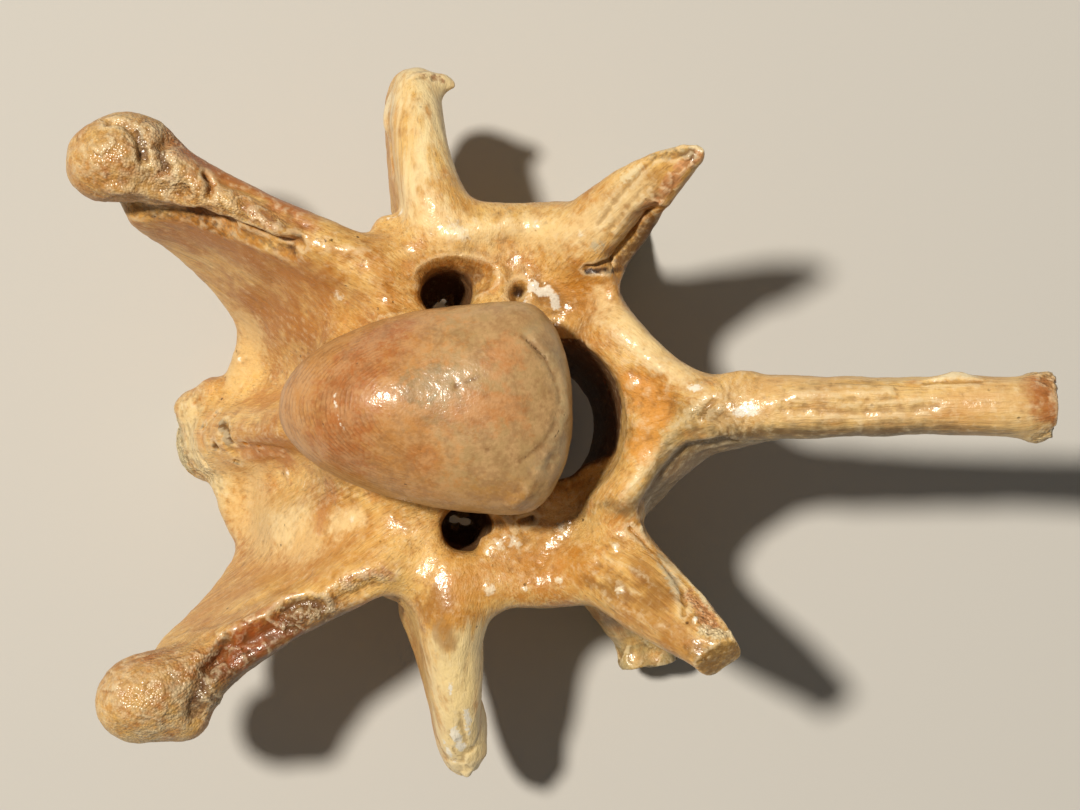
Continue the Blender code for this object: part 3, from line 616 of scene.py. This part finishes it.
stain("crest_orange", "#c5803a", marks(196, (5, 0.3, [(-80, 8, 34), (-72, 6, 48)]),
      (4, 0.3, [(-80, -9), (-70, -9)]), (5, 0.4, [(-55.2, -17.3), (-57.7, -24)])), 0.65, 0.8, 2.2)
# Painted shade in the crest's pits and in two small hollows at its end.
stain("pit_painted_shade", "#4a321c", marks(198, *[(1.15 * width, ragged, path) for width, ragged, path in PITS],
      (0.9, 0.3, [(-98, -14), (-94, -16.5)])), 0.85, 0.5, 0.9)

# The dorsal tubercles, flat plates that stand out to each side, grained along their length.
# The right one ends in a small hook, and the left one is broken off at a blunt point.
work(211,
     (-1.2, 2.6, 0.2, [(-27.5, -87, 60)]), (1.0, 2.6, 0.3, [(-20.5, -91, 57)]),
     (-0.6, 1.4, 0.3, [(-22, -74), (-20.5, -82)]), (-2.6, 5.5, 0.1, [(-41, 67.5, 60)]),
     (0.6, 3.5, 0.2, [(-41.5, 77, 58), (-40.5, 83, 58)]), (-0.8, 1.3, 0.3, [(-28.5, 87.8)]),
     (-0.6, 0.9, 0.2, [(-26.6, 87.2)]),
     (-0.4, 4.0, 0.1, [(-37.6, 84), (-37.4, 77)]), (0.6, 1.4, 0.3, [(-34, 88), (-29.7, 89.4)]))
tip_left = nearness([(-20, -91, 58), (-22, -83, 62)], 9, 0.2, 221)
tubercles = np.clip(nearness([(-30, 56, 74), (-31, 86, 62)], 15)
                    + nearness([(-22, -54, 74), (-21, -88, 60)], 15), 0, 1)
raise_by(chipping(tip_left, 5.0, 0.6, 222)
         + tubercles * (0.22 * rugged(2.2, 223, squeezed) + 0.3 * rugged(9, 224)))
stain("tubercle_pale", "#ffebb6", tubercles, 0.85, 0.8, 2.2, fibre_place)
# Painted light along the left tubercle, which is tilted away from the key and would otherwise show darker.
stain("tubercle_painted_light", "#ffe4a2", marks(227, (5.5, 0.4, [(-21, -56), (-21, -70), (-20, -84)])),
      0.7, 0.9, 2.2, fibre_place, 0.5)
stain("tubercle_brown", "#a06a2c", marks(226, (4.0, 0.5, [(-30.6, -47.4), (-27.8, -43.6)]),
      (2.4, 0.5, [(-25.1, -51.7), (-24, -56)])), 0.65, 0.9, 2.2, fibre_place)
stain("tubercle_facet", "#f2e6c4", marks(229, (3.6, 0.2, [(-40.6, 84, 60), (-40.8, 76, 57)]),
      (2.0, 0.3, [(-39.2, 82, 64), (-39.4, 76, 64)])), 0.8, 0.6, 1.6, soft=0.4)
stain("tubercle_red", "#96552c", marks(231, (1.4, 0.4, [(-28.5, 87.8)]), (1.0, 0.3, [(-26.6, 87.2)]),
      (1.2, 0.3, [(-31, 88.4)])), 0.8, 0.7, 0.9)

# The arch over the canal carries two ridges that run together into the spinous process, a
# long straight rod with a thin blade behind it and a blunt, stained, broken end.
RIDGE_RIGHT = [(12, 26), (15.5, 23), (22.1, 17.5), (28.7, 13), (35, 8.7)]
RIDGE_LEFT = [(37, 7), (36, 5.6), (31.7, 0.4), (27.6, -5.3), (23.2, -11), (19, -17.8)]
JUNCTION_CREASE = [(36.3, 1.4), (37.5, 3.9), (39.4, 5.8)]
spine = nearness([(46, 3, 98), (116, 4, 104)], 20)
spine_end = nearness([(118, 8, 106), (118, -2, 104)], 9.0, 0.15, 241)
work(242,
     (-2.2, 6.0, 0.1, [(22, 5), (28, 4)]), (-1.2, 4.0, 0.2, [(20, 12), (26, 9)]),
     (0.4, 3.6, 0.25, RIDGE_RIGHT), (1.0, 5.0, 0.15, RIDGE_LEFT),
     (-2.4, 5.0, 0.1, [(23.6, -18.5, 87), (29.4, -10.8, 90), (35.2, -5.6, 94), (42, -4.6, 97)]),
     (2.4, 9.0, 0.1, [(26, -20, 74), (34, -12, 80), (44, -7.5, 86), (60, -6, 88), (84, -5.5, 90)]),
     (-0.8, 1.0, 0.2, JUNCTION_CREASE), (0.5, 1.6, 0.2, [(38.2, 1.6), (40.6, 4)]),
     (-0.8, 1.1, 0.3, [(88, 9.9), (101, 10.2)]),
     (-1.2, 2.2, 0.3, [(50, -4.2, 99), (70, -4.2, 101), (92, -4.2, 103)]),
     (0.6, 2.4, 0.3, [(58, 7), (80, 7.5)]),
     (-0.5, 2.0, 0.4, [(55, 4), (72, 3), (90, 4)]), (-1.6, 2.2, 0.3, [(119, -0.5, 107)]),
     (-0.8, 2.4, 0.3, [(119, 6, 107)]))
raise_by(spine * (0.26 * rugged(2.4, 262, squeezed) + 0.35 * rugged(8, 263))
         + chipping(spine_end, 2.4, 0.7, 264))
outward = facing(bone.data)
face_left = (nearness([(26, -16.5, 80), (31, -11.5, 84), (46, -6, 90), (84, -6, 94)], 26)
             * 1.4 * np.clip((-outward[:, 1] - 0.22) / 0.25, 0, 1))
stain("spine_tan", "#f4d69c", spine, 0.6, 0.8, 2.2, fibre_place)
stain("spine_streak", "#b07a3a", spine * (0.36 + 0.7 * rugged(6.0, 265, squeezed)), 0.4, 0.7, 2.2,
      fibre_place, 0.5)
stain("spine_amber", "#d99a48", spine * (0.4 + 0.9 * rugged(12, 267)), 0.5, 0.8, 2.2, fibre_place, 0.5)
stain("triangle_orange", "#e7a044", marks(268, (5.0, 0.3, [(21, 9), (27, 3), (22.7, -6)])), 0.75, 0.7, 2.2)
stain("ridge_cream", "#f6dfab", marks(266, (1.5, 0.3, RIDGE_LEFT), (2.6, 0.5, RIDGE_RIGHT)), 0.6, 0.9, 1.2,
      soft=0.5)
# Painted shade, grey brown, on the lamina's and spine's left side, which faces away from the key.
stain("side_painted_shade", "#7d6d4c", face_left, 0.72, 0.9, 3.5, soft=0.5)
# Painted shade along the spine's underside, and a thin dark line on its upper edge.
stain("spine_under_painted_shade", "#654c2e", marks(270, (2.2, 0.3, [(42, -3.8), (52, -2.6), (84, -2.4), (108, -2.4)]),
      (0.9, 0.5, [(60, 10), (80, 10.4)])), 0.75, 0.8, 2.2, fibre_place, 0.5)
stain("spine_red", "#b4682f", marks(272, (4.6, 0.3, [(114.6, 9.5), (116.2, 3)])), 0.85, 0.7, 2.2, soft=0.5)
stain("spine_brown", "#7d5330", spine_end * np.clip(outward[:, 0] * 2 - 0.6, 0, 1), 0.85, 0.7, 1.2)
stain("spine_crust", "#d4dac4", marks(274, (1.6, 0.4, [(118.9, -0.8, 108)])), 0.85, 0.6, 0.9)
stain("blade_flake", "#f0e3bf", marks(277, (1.1, 0.3, [(90, 11.6, 108.4), (102, 11.6, 108.4)])),
      0.85, 0.5, 0.9)

# The cranial articular processes, two slanting wings worn and broken at their tips. The right
# one has lost a slab from its inner face, and a crack runs down the left one, whose end is
# broken off flat. So is the foot of the caudal process below it.
SLAB_BREAK = [(24.6, 47.8), (21.8, 43), (18.0, 39.4)]
SLAB_RIM = [(26.4, 47.6), (24.4, 42.4), (21.6, 37.2), (18.6, 31.4)]
CRACK_RIGHT = [(9.6, 37.2), (13.8, 37.4), (17.6, 37.6)]
CRACK_LEFT = [(20.4, -25.6), (23.9, -28.8), (28.9, -34.4), (31.7, -38.4), (32.4, -42.1), (32.0, -44.4)]
red_left = nearness([(33.7, -40.2), (36.5, -42.9), (38.8, -46.6)], 4.4, 0.3, 281)
red_right = nearness([(23.6, 50.1), (27.7, 54.9), (31.6, 60.6), (35, 62.6)], 3.8, 0.35, 282)
brown_left = nearness([(35.2, -53.4), (39, -53.4), (43, -53)], 6.0, 0.2, 283)
cream_left = nearness([(36.6, -48.5), (42.5, -49.0)], 3.0, 0.3, 284)
work(285,
     (-3.8, 6.4, 0.1, SLAB_BREAK), (-1.8, 4.4, 0.15, [(25.5, 46), (22, 41), (19, 37)]),
     (0.6, 1.1, 0.2, SLAB_RIM), (-2.2, 2.0, 0.2, CRACK_RIGHT), (-1.5, 1.2, 0.25, CRACK_LEFT),
     (0.8, 1.8, 0.2, [(23.1, -25.6), (28.6, -31), (33.6, -36.8), (39.9, -44.4), (44.1, -50)]),
     (-0.9, 5.0, 0.1, [(37, -53.6), (41.5, -53.4)]), (0.9, 1.6, 0.1, [(34.8, -45.6)]),
     (0.6, 1.1, 0.1, [(35.6, -55.4)]),
     (0.6, 1.0, 0.1, [(38.5, -56.6)]), (0.5, 0.9, 0.1, [(41.2, -56.4)]),
     (-0.5, 1.4, 0.3, [(12, 48), (18, 56), (24, 62)]),
     (0.6, 1.8, 0.3, [(16, 46), (24, 55)]), (0.7, 1.4, 0.2, [(27, 66), (32.6, 65.4), (35.8, 63.8)]),
     (-0.8, 2.0, 0.3, [(25, 63.4), (31, 63.2)]),
     (-0.8, 3.0, 0.2, [(12, -34), (22, -38)]), (0.6, 3.2, 0.2, [(14, -42), (26, -48)]),
     (0.6, 2.6, 0.2, [(16.4, -29.7)]), (0.4, 2.6, 0.3, [(17, -39.8)]))
wing_tips = marks(301, (4, 0.2, [(34, 63)]), (4, 0.2, [(42, -55), (35, -57)]))
at_wing_end = nearness([(35, -56, 106), (45, -53, 107)], 10)
WING_BREAK = np.array((0.29, -0.576, 0.765))       # the way the wing's broken end looks
past = np.clip((points - (38.7, -52, 108.8)) @ WING_BREAK, 0, None) * np.clip(at_wing_end * 4, 0, 1)
points -= 0.9 * past[:, None] * WING_BREAK
wing_face = np.clip(past / 1.4, 0, 1)
foot_tips = nearness([(22, -64, 20), (34, -65, 16)], 14)
FOOT_BREAK = np.array((0.144, -0.99, -0.06))        # the way the foot's broken face looks
past = np.clip((points - (23.3, -67.3, 16)) @ FOOT_BREAK, 0, None) * np.clip(foot_tips * 4, 0, 1)
points -= 0.85 * past[:, None] * FOOT_BREAK
raise_by(granules(red_left + cream_left, 1.5, 0.4, 303) - 0.4 * red_left
         + chipping(red_right, 3.2, 0.5, 304) + chipping(wing_tips, 6.0, 0.15, 305)
         + chipping(foot_tips, 6.0, 0.5, 307))
stain("wing_amber", "#ab7430", marks(306, (6, 0.4, [(16, -42), (26, -47), (31, -51)]),
      (4, 0.5, [(21, -35.5), (29.3, -42)]), (5, 0.4, [(18, 52), (24, 57)])), 0.6, 0.9, 2.2, fibre_place)
stain("wing_smear", "#8a5a22", marks(308, (2.2, 0.5, [(8.9, -38.6), (15.8, -39.9), (20.8, -42.1),
      (27.6, -42.7)]), (2.0, 0.5, [(21, -35.5), (29.3, -41.8)])), 0.6, 0.9, 1.3, fibre_place)
stain("wing_grey", "#c3bda2", marks(310, (1.8, 0.4, [(27.4, -31.4), (29.7, -35.4), (30.7, -39.4)]),
      (2.0, 0.5, [(11.7, 42.9)])), 0.75, 0.8, 1.2)
stain("red_fracture", "#d99a66", np.maximum(red_left, red_right), 0.85, 0.6, 1.2)
stain("cream_fracture", "#f0dfb2", cream_left + marks(313, (1.6, 0.5, [(17.7, 58.1), (21.4, 60.1)]),
      (0.9, 0.4, [(27, 66), (32.6, 65.4), (35.8, 63.8)]),
      (0.9, 0.5, [(23.1, -25.6), (28.6, -31), (33.6, -36.8), (39.9, -44.4)])), 0.85, 0.7, 0.9)
stain("wing_end_brown", "#7b5826", np.maximum(0.7 * brown_left, 0.85 * wing_face),
      0.8, 0.9, 1.6, soft=0.45)
stain("wing_grey_tip", "#74603f", marks(318, (1.5, 0.5, [(24.4, 63.5), (28.0, 64.1), (33.1, 62.6)])),
      0.75, 0.8, 1.2)
# Painted shade in the recess where the slab broke away from the right wing, and in the crack beside it.
slab = marks(319, (2.6, 0.2, SLAB_BREAK), (3.4, 0.15, [(x + 2.8, y - 0.8) for x, y in SLAB_BREAK]),
             (1.2, 0.3, CRACK_RIGHT),
             (2.8, 0.15, [(25.4, 48.2, 96), (25.0, 47.0, 85), (23.0, 44.2, 92), (23.2, 43.6, 82),
                          (20.4, 41.2, 89), (20.6, 40.6, 80)]))
stain("slab_painted_shade", "#69492d", slab, 0.9, 0.5, 1.2)

# The body's sides and the caudal end, with the cup that took the next head. Small holes for
# blood vessels dot them, and weathering left low swells and fine pits everywhere. Hollows are
# painted darker as grime and painted shade, high spots paler as wear and painted highlight.
nodules = nearness([(-62, -16, 58), (-46, -17, 76), (-30, -22, 82), (-10, -30, 80)], 12, 0.3, 320)
plain = 1 - 0.8 * on_head
raise_by(plain * (0.35 * rugged(11, 321) + 0.18 * rugged(3.4, 322) + 0.12 * rugged(2.2, 323, squeezed))
         + granules(nodules, 3.4, 0.25, 324))
outward = facing(bone.data)
ties = ties_of(bone.data)
near_blur = ((blurred(points, ties, 8) - points) * outward).sum(1)
wide_blur = ((blurred(points, ties, 40) - points) * outward).sum(1)
hollow = (near_blur - 0.2 * wide_blur) / np.percentile(np.abs(near_blur - 0.2 * wide_blur), 97)
feet = np.clip((38 - points[:, 2]) / 24, 0, 1) * np.clip((np.abs(points[:, 1]) - 36) / 8, 0, 1)
stain("caudal_green", "#a79d72", np.maximum(foot_tips, feet), 0.8, 1.0, 6.0, soft=0.5)
GLINTS = [(-49, -24), (-21, 46), (-3, 49), (-7, -30), (-52, 31), (-12, -30), (16.4, -29.7),
          (3.6, -25.8), (-8.1, -29.4), (20.3, -25.2), (17, -39.8), (-64, -16), (-56, 24),
          (8, 46), (-14.3, -40.9), (-5.4, -40.9), (2.7, -38.6)]
work(331, *[(0.35, 1.5 + 0.4 * (turn % 3), 0.3, [spot]) for turn, spot in enumerate(GLINTS)])
# A paler tone on the arch and the right wing's base, and painted sheen on the right tubercle's root and on
# the body beside the crest.
stain("pale_tone_and_painted_sheen", "#ffe3a8", marks(345, (6, 0.3, [(0, 47), (8, 46), (15, 51), (21, 55)]),
      (3.6, 0.4, [(12, 31), (19, 25), (26, 19.5), (33, 13.5)]),
      (5, 0.4, [(-64, -22), (-70, -28)]), (3.5, 0.4, [(-54, -26), (-49, -24)]),
      (5.5, 0.3, [(-30, 51), (-24, 48), (-15, 46.5), (-5, 48.5)])), 0.75, 0.8, 2.2, soft=0.5)
# Painted glints: small near-white spots on the glint bumps, on the right tubercle's root and on the right
# plate.
stain("painted_glints", "#fff3d6", marks(346, (2.3, 0.5, [(-22.5, 48), (-20, 47)]), (1.7, 0.6, [(-52, 31)]),
      *[(0.9 + 0.25 * (turn % 3), 0.5, [spot]) for turn, spot in enumerate(GLINTS)]), 0.75, 0.8, 0.9)
# The hollows are painted darker, as grime and as painted shade.
stain("crevice_dirt_and_shade", "#764e28", 0.8 * hollow * (1 - 0.4 * knobs), 0.42, 0.5, 0.9, soft=0.5)
unbroken = plain * (1 - 0.8 * broken_left) * (1 - 0.4 * knobs) * (1 - 0.8 * np.clip(slab, 0, 1))
# The high spots are painted paler, as wear and as painted highlight on every small rise.
stain("wear_and_painted_highlight", "#fbeac2", -0.8 * hollow * unbroken, 0.4, 0.7, 0.9, soft=0.5)
# White crust, chips and flecks, and painted glare on a lacquer drop on the spine and on a patch near the
# ridges' junction.
stain("white_crust_and_painted_glare", "#fdf8e8", marks(341, (1.5, 0.15, [(44.8, 2.9), (48.6, 3.2)]),
      (1.2, 0.3, [(33.1, 8.9), (35.9, 8.8)]),
      (1.2, 0.2, [(-68.5, -13.5)]), (0.9, 0.2, [(-84, 17)]),
      *[(0.85 * width, ragged, path) for width, ragged, path in CRUST],
      (0.9, 0.4, [(-24.0, -65.1), (-24.1, -68)]), (1.3, 0.4, [(-20.1, -73), (-19.4, -79.2)]),
      (1.5, 0.4, [(-23.9, -78), (-21.7, -83.7)]),
      (1.2, 0.4, [(-26.8, -80.9), (-24.2, -87)]), (0.9, 0.2, [(34.8, -45.6)]),
      (1.3, 0.3, [(-39.6, 51.8), (-37.2, 53.0)]),
      (0.5, 0.5, [(-50, 8), (-49, 3), (-47.5, -2)])), 0.92, 0.5, 0.9, soft=0.15)
# Painted shade, near black, inside the nerve hole, the small hole by the left foramen and the crack on the
# right wing.
stain("holes_painted_shade", "#2e1c0e", marks(351, (1.15, 0.1, [(-6.9, 32.7, 80), (-6.9, 32.2, 72)]),
      (0.9, 0.2, [(-4.0, -23.8)]), (0.7, 0.3, CRACK_RIGHT)), 0.9, 0.3, 0.9)

# Hairline cracks, drawn by their distance so that they stay thinner than the skin's mesh.
CRACKS = [LIP_CRACK, [(x + 2.0, y * 0.95) for x, y in LIP_CRACK[2:7]], JUNCTION_CREASE, CRACK_LEFT,
          [(-62, 47), (-55, 45), (-49, 45.5)], [(-78, -59), (-74, -56.4), (-70, -55.6)],
          [(-70.5, -52.6), (-69, -50.4)]]
crack_gap = np.ones(len(points))
for path in CRACKS:
    crack_gap = np.minimum(crack_gap, 1 - closeness(path, 3.0))
masks["crack_gap"] = crack_gap

# Surface relief too fine for the mesh: fibres, grains on the knobs and breaks, rings on the
# head, vessel holes, and the lacquer's own ripple, each at its real height.
masks["granular"] = np.clip(
    knobs + ledges + crest_bumps + crest_end + spine_end + red_left + cream_left, 0, 1)
masks["smooth_head"] = on_head
masks["ring_count"] = egg * HEAD_LONG / RING_GAP
masks["ringed"] = on_head * np.clip((-22 - points[:, 0]) / 24, 0.08, 1)
granular = coverage("granular")
smooth_head = coverage("smooth_head")
ring_count = coverage("ring_count")
RING_WOBBLE = 3.0       # rings
wobble = add("Math", {0: speckle(14.0, 2.0), 1: RING_WOBBLE, 2: ring_count}, operation="MULTIPLY_ADD")
ring_wave = add("Math", {0: times(wobble, 2 * pi)}, operation="SINE")
ringed = coverage("ringed")
worn_rings = times(stepped(ring_count, 14, 32), stepped(speckle(3.5), 0.35, 0.6))
rings = times(ring_wave, times(ringed, worn_rings))
colour = mixed(colour, "#7c4f26", times(stepped(rings, 0.1, 1.0), 0.32))
gap = coverage("crack_gap")
ragged_gap = add("Math", {0: speckle(1.2, 2.0), 1: 0.22, 2: gap}, operation="MULTIPLY_ADD")
crack = add("MapRange", {"Value": ragged_gap, "From Min": 0.17, "From Max": 0.26,
                         "To Min": 1.0, "To Max": 0.0})
colour = mixed(colour, "#4b3119", times(crack, 0.75))
GRAIN_SIZE = 0.7        # mm
grains = add("TexVoronoi", {"Vector": place, "Scale": 1 / (GRAIN_SIZE * MM)}, feature="F1")
colour = mixed(colour, "#6e4a28", times(times(stepped(grains, 0.5, 0.8), granular), 0.3))
HOLE_SPACING = 5.5      # mm between vessel holes
cells = add("TexVoronoi", {"Vector": place, "Scale": 1 / (HOLE_SPACING * MM)})
masks["spongy"] = 1 - np.clip(spine + tubercles, 0, 1)
chosen = times(stepped(speckle(9.0, 1.0), 0.5, 0.6), coverage("spongy"))
holes = times(add("MapRange", {"Value": cells, "From Min": 0.03, "From Max": 0.085,
                               "To Min": 1.0, "To Max": 0.0}), chosen)
colour = mixed(colour, "#5b3c22", times(holes, 0.8))


def relief(height, distance, under=None):
    """A bump whose full height is that many millimetres."""
    values = {"Height": height, "Distance": distance * MM, "Strength": 1.0}
    if under is not None:
        values["Normal"] = under
    return add("Bump", values, out="Normal")


rough_side = add("Math", {0: 1.0, 1: smooth_head}, operation="SUBTRACT")
normal = relief(times(fibres, rough_side), 0.26)
normal = relief(times(fine_fibres, rough_side), 0.16, normal)
normal = relief(times(grains, granular), -0.42, normal)
normal = relief(rings, 0.03, normal)
normal = relief(crack, -0.3, normal)
normal = relief(holes, -0.4, normal)
normal = relief(speckle(0.7, 2.0), 0.10, normal)
coat_normal = relief(speckle(2.2, 3.0), 0.25)
coat_normal = relief(times(grains, granular), -0.3, coat_normal)
tree.links.new(colour, shader.inputs["Base Color"])
tree.links.new(normal, shader.inputs["Normal"])
tree.links.new(coat_normal, shader.inputs["Coat Normal"])

# The lacquer was brushed on from above, so the sides have less, and the hollows with painted shade and soil
# least.
MOST_LACQUER = 0.7
dull = masks["pit_painted_shade"] + masks["slab_painted_shade"] + masks["holes_painted_shade"] + masks["under_shade"] + masks["soil"]
masks["lacquer"] = np.clip(facing(bone.data)[:, 2] + 0.1, 0.25, 1) * (1 - 0.8 * np.clip(dull, 0, 1))
lacquer = times(coverage("lacquer"), MOST_LACQUER)
tree.links.new(lacquer, shader.inputs["Coat Weight"])
SMOOTH_ROUGHNESS, GRAINED_ROUGHNESS = 0.46, 0.6
roughness = add("MapRange", {"Value": granular, "To Min": SMOOTH_ROUGHNESS, "To Max": GRAINED_ROUGHNESS})
tree.links.new(roughness, shader.inputs["Roughness"])
shader.inputs["IOR"].default_value = 1.5
shader.inputs["Specular IOR Level"].default_value = 0.35
shader.inputs["Coat Roughness"].default_value = 0.2
shader.inputs["Coat IOR"].default_value = 1.5

# The skin is kept inside the box of the CAD bone, thinned where it is plain so that the
# breaks keep their detail, and set in place of every CAD node.
MOST_TRIANGLES = 196000
low, high = np.array(cad_box[0]) / MM, np.array(cad_box[1]) / MM
write_points(bone.data, points)
for first in range(0, len(masks), 3):
    trio = np.zeros((len(points), 3), np.float32)
    for axis, values in enumerate(list(masks.values())[first:first + 3]):
        trio[:, axis] = values
    packed = bone.data.attributes.new("masks_%d" % (first // 3), "FLOAT_VECTOR", "POINT")
    packed.data.foreach_set("vector", trio.ravel())
bone.data.attributes.new("fibre_place", "FLOAT_VECTOR", "POINT").data.foreach_set(
    "vector", (squeezed * MM).astype(np.float32).ravel())
bone.data.calc_loop_triangles()
thin = bone.modifiers.new("thin", "DECIMATE")
thin.ratio = min(1.0, MOST_TRIANGLES / len(bone.data.loop_triangles))
settle(bone)
BOX_ROOM = 0.01         # mm
write_points(bone.data, np.clip(read_points(bone.data), low + BOX_ROOM, high - BOX_ROOM))
bone.data.materials.clear()
bone.data.materials.append(lacquered_bone)
bone.data.shade_smooth()
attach(bone, "root")
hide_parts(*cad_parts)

# A plain pale floor and a soft studio key from the upper left, with a pale room around it.
floor_mesh = bpy.data.meshes.new("floor")
FLOOR_REACH = 4.0       # metres each way
corners = [(-FLOOR_REACH, -FLOOR_REACH, 0), (FLOOR_REACH, -FLOOR_REACH, 0),
           (FLOOR_REACH, FLOOR_REACH, 0), (-FLOOR_REACH, FLOOR_REACH, 0)]
floor_mesh.from_pydata(corners, [], [(0, 1, 2, 3)])
floor = bpy.data.objects.new("floor", floor_mesh)
bpy.context.scene.collection.objects.link(floor)
floor_paint = bpy.data.materials.new("matt_pale_paint")
floor_paint.use_nodes = True
floor_shader = floor_paint.node_tree.nodes["Principled BSDF"]
floor_shader.inputs["Base Color"].default_value = linear("#cfcfcc")
floor_shader.inputs["Roughness"].default_value = 0.9
floor.data.materials.append(floor_paint)

KEY_WAY = Vector((-218, 122.5, 605)).normalized()
KEY_DISTANCE = 2.5      # metres
KEY_SIZE = 0.22         # metres across, which gives the shadows their soft edge
KEY_POWER = 63          # watts
ROOM_STRENGTH = 0.11
key_light = bpy.data.lights.new("key", "AREA")
key_light.shape = "DISK"
key_light.size = KEY_SIZE
key_light.energy = KEY_POWER
key_light.color = linear("#fff4e4")[:3]
key = bpy.data.objects.new("key", key_light)
key.location = KEY_WAY * KEY_DISTANCE
key.rotation_euler = (-KEY_WAY).to_track_quat("-Z", "Y").to_euler()
bpy.context.scene.collection.objects.link(key)
room = bpy.data.worlds.new("room")
room.use_nodes = True
room.node_tree.nodes["Background"].inputs["Color"].default_value = linear("#f4eee4")
room.node_tree.nodes["Background"].inputs["Strength"].default_value = ROOM_STRENGTH
bpy.context.scene.world = room

# The camera looks straight down on the bone from 605 mm, with the photograph's framing.
CAMERA_HEIGHT = 605.0
PIXEL = 0.285           # mm on the floor
IMAGE_WIDTH = 1080      # pixels
AIM = (-1.771, 4.491)   # mm, the point of the floor in the middle of the picture
lens = bpy.data.cameras.new("camera")
lens.sensor_width = 36.0
lens.lens = CAMERA_HEIGHT / PIXEL / IMAGE_WIDTH * lens.sensor_width
lens.clip_start = 0.01
camera = bpy.data.objects.new("camera", lens)
camera.location = Vector((*AIM, CAMERA_HEIGHT)) * MM
bpy.context.scene.collection.objects.link(camera)
bpy.context.scene.camera = camera
bpy.context.scene.view_settings.view_transform = "Standard"
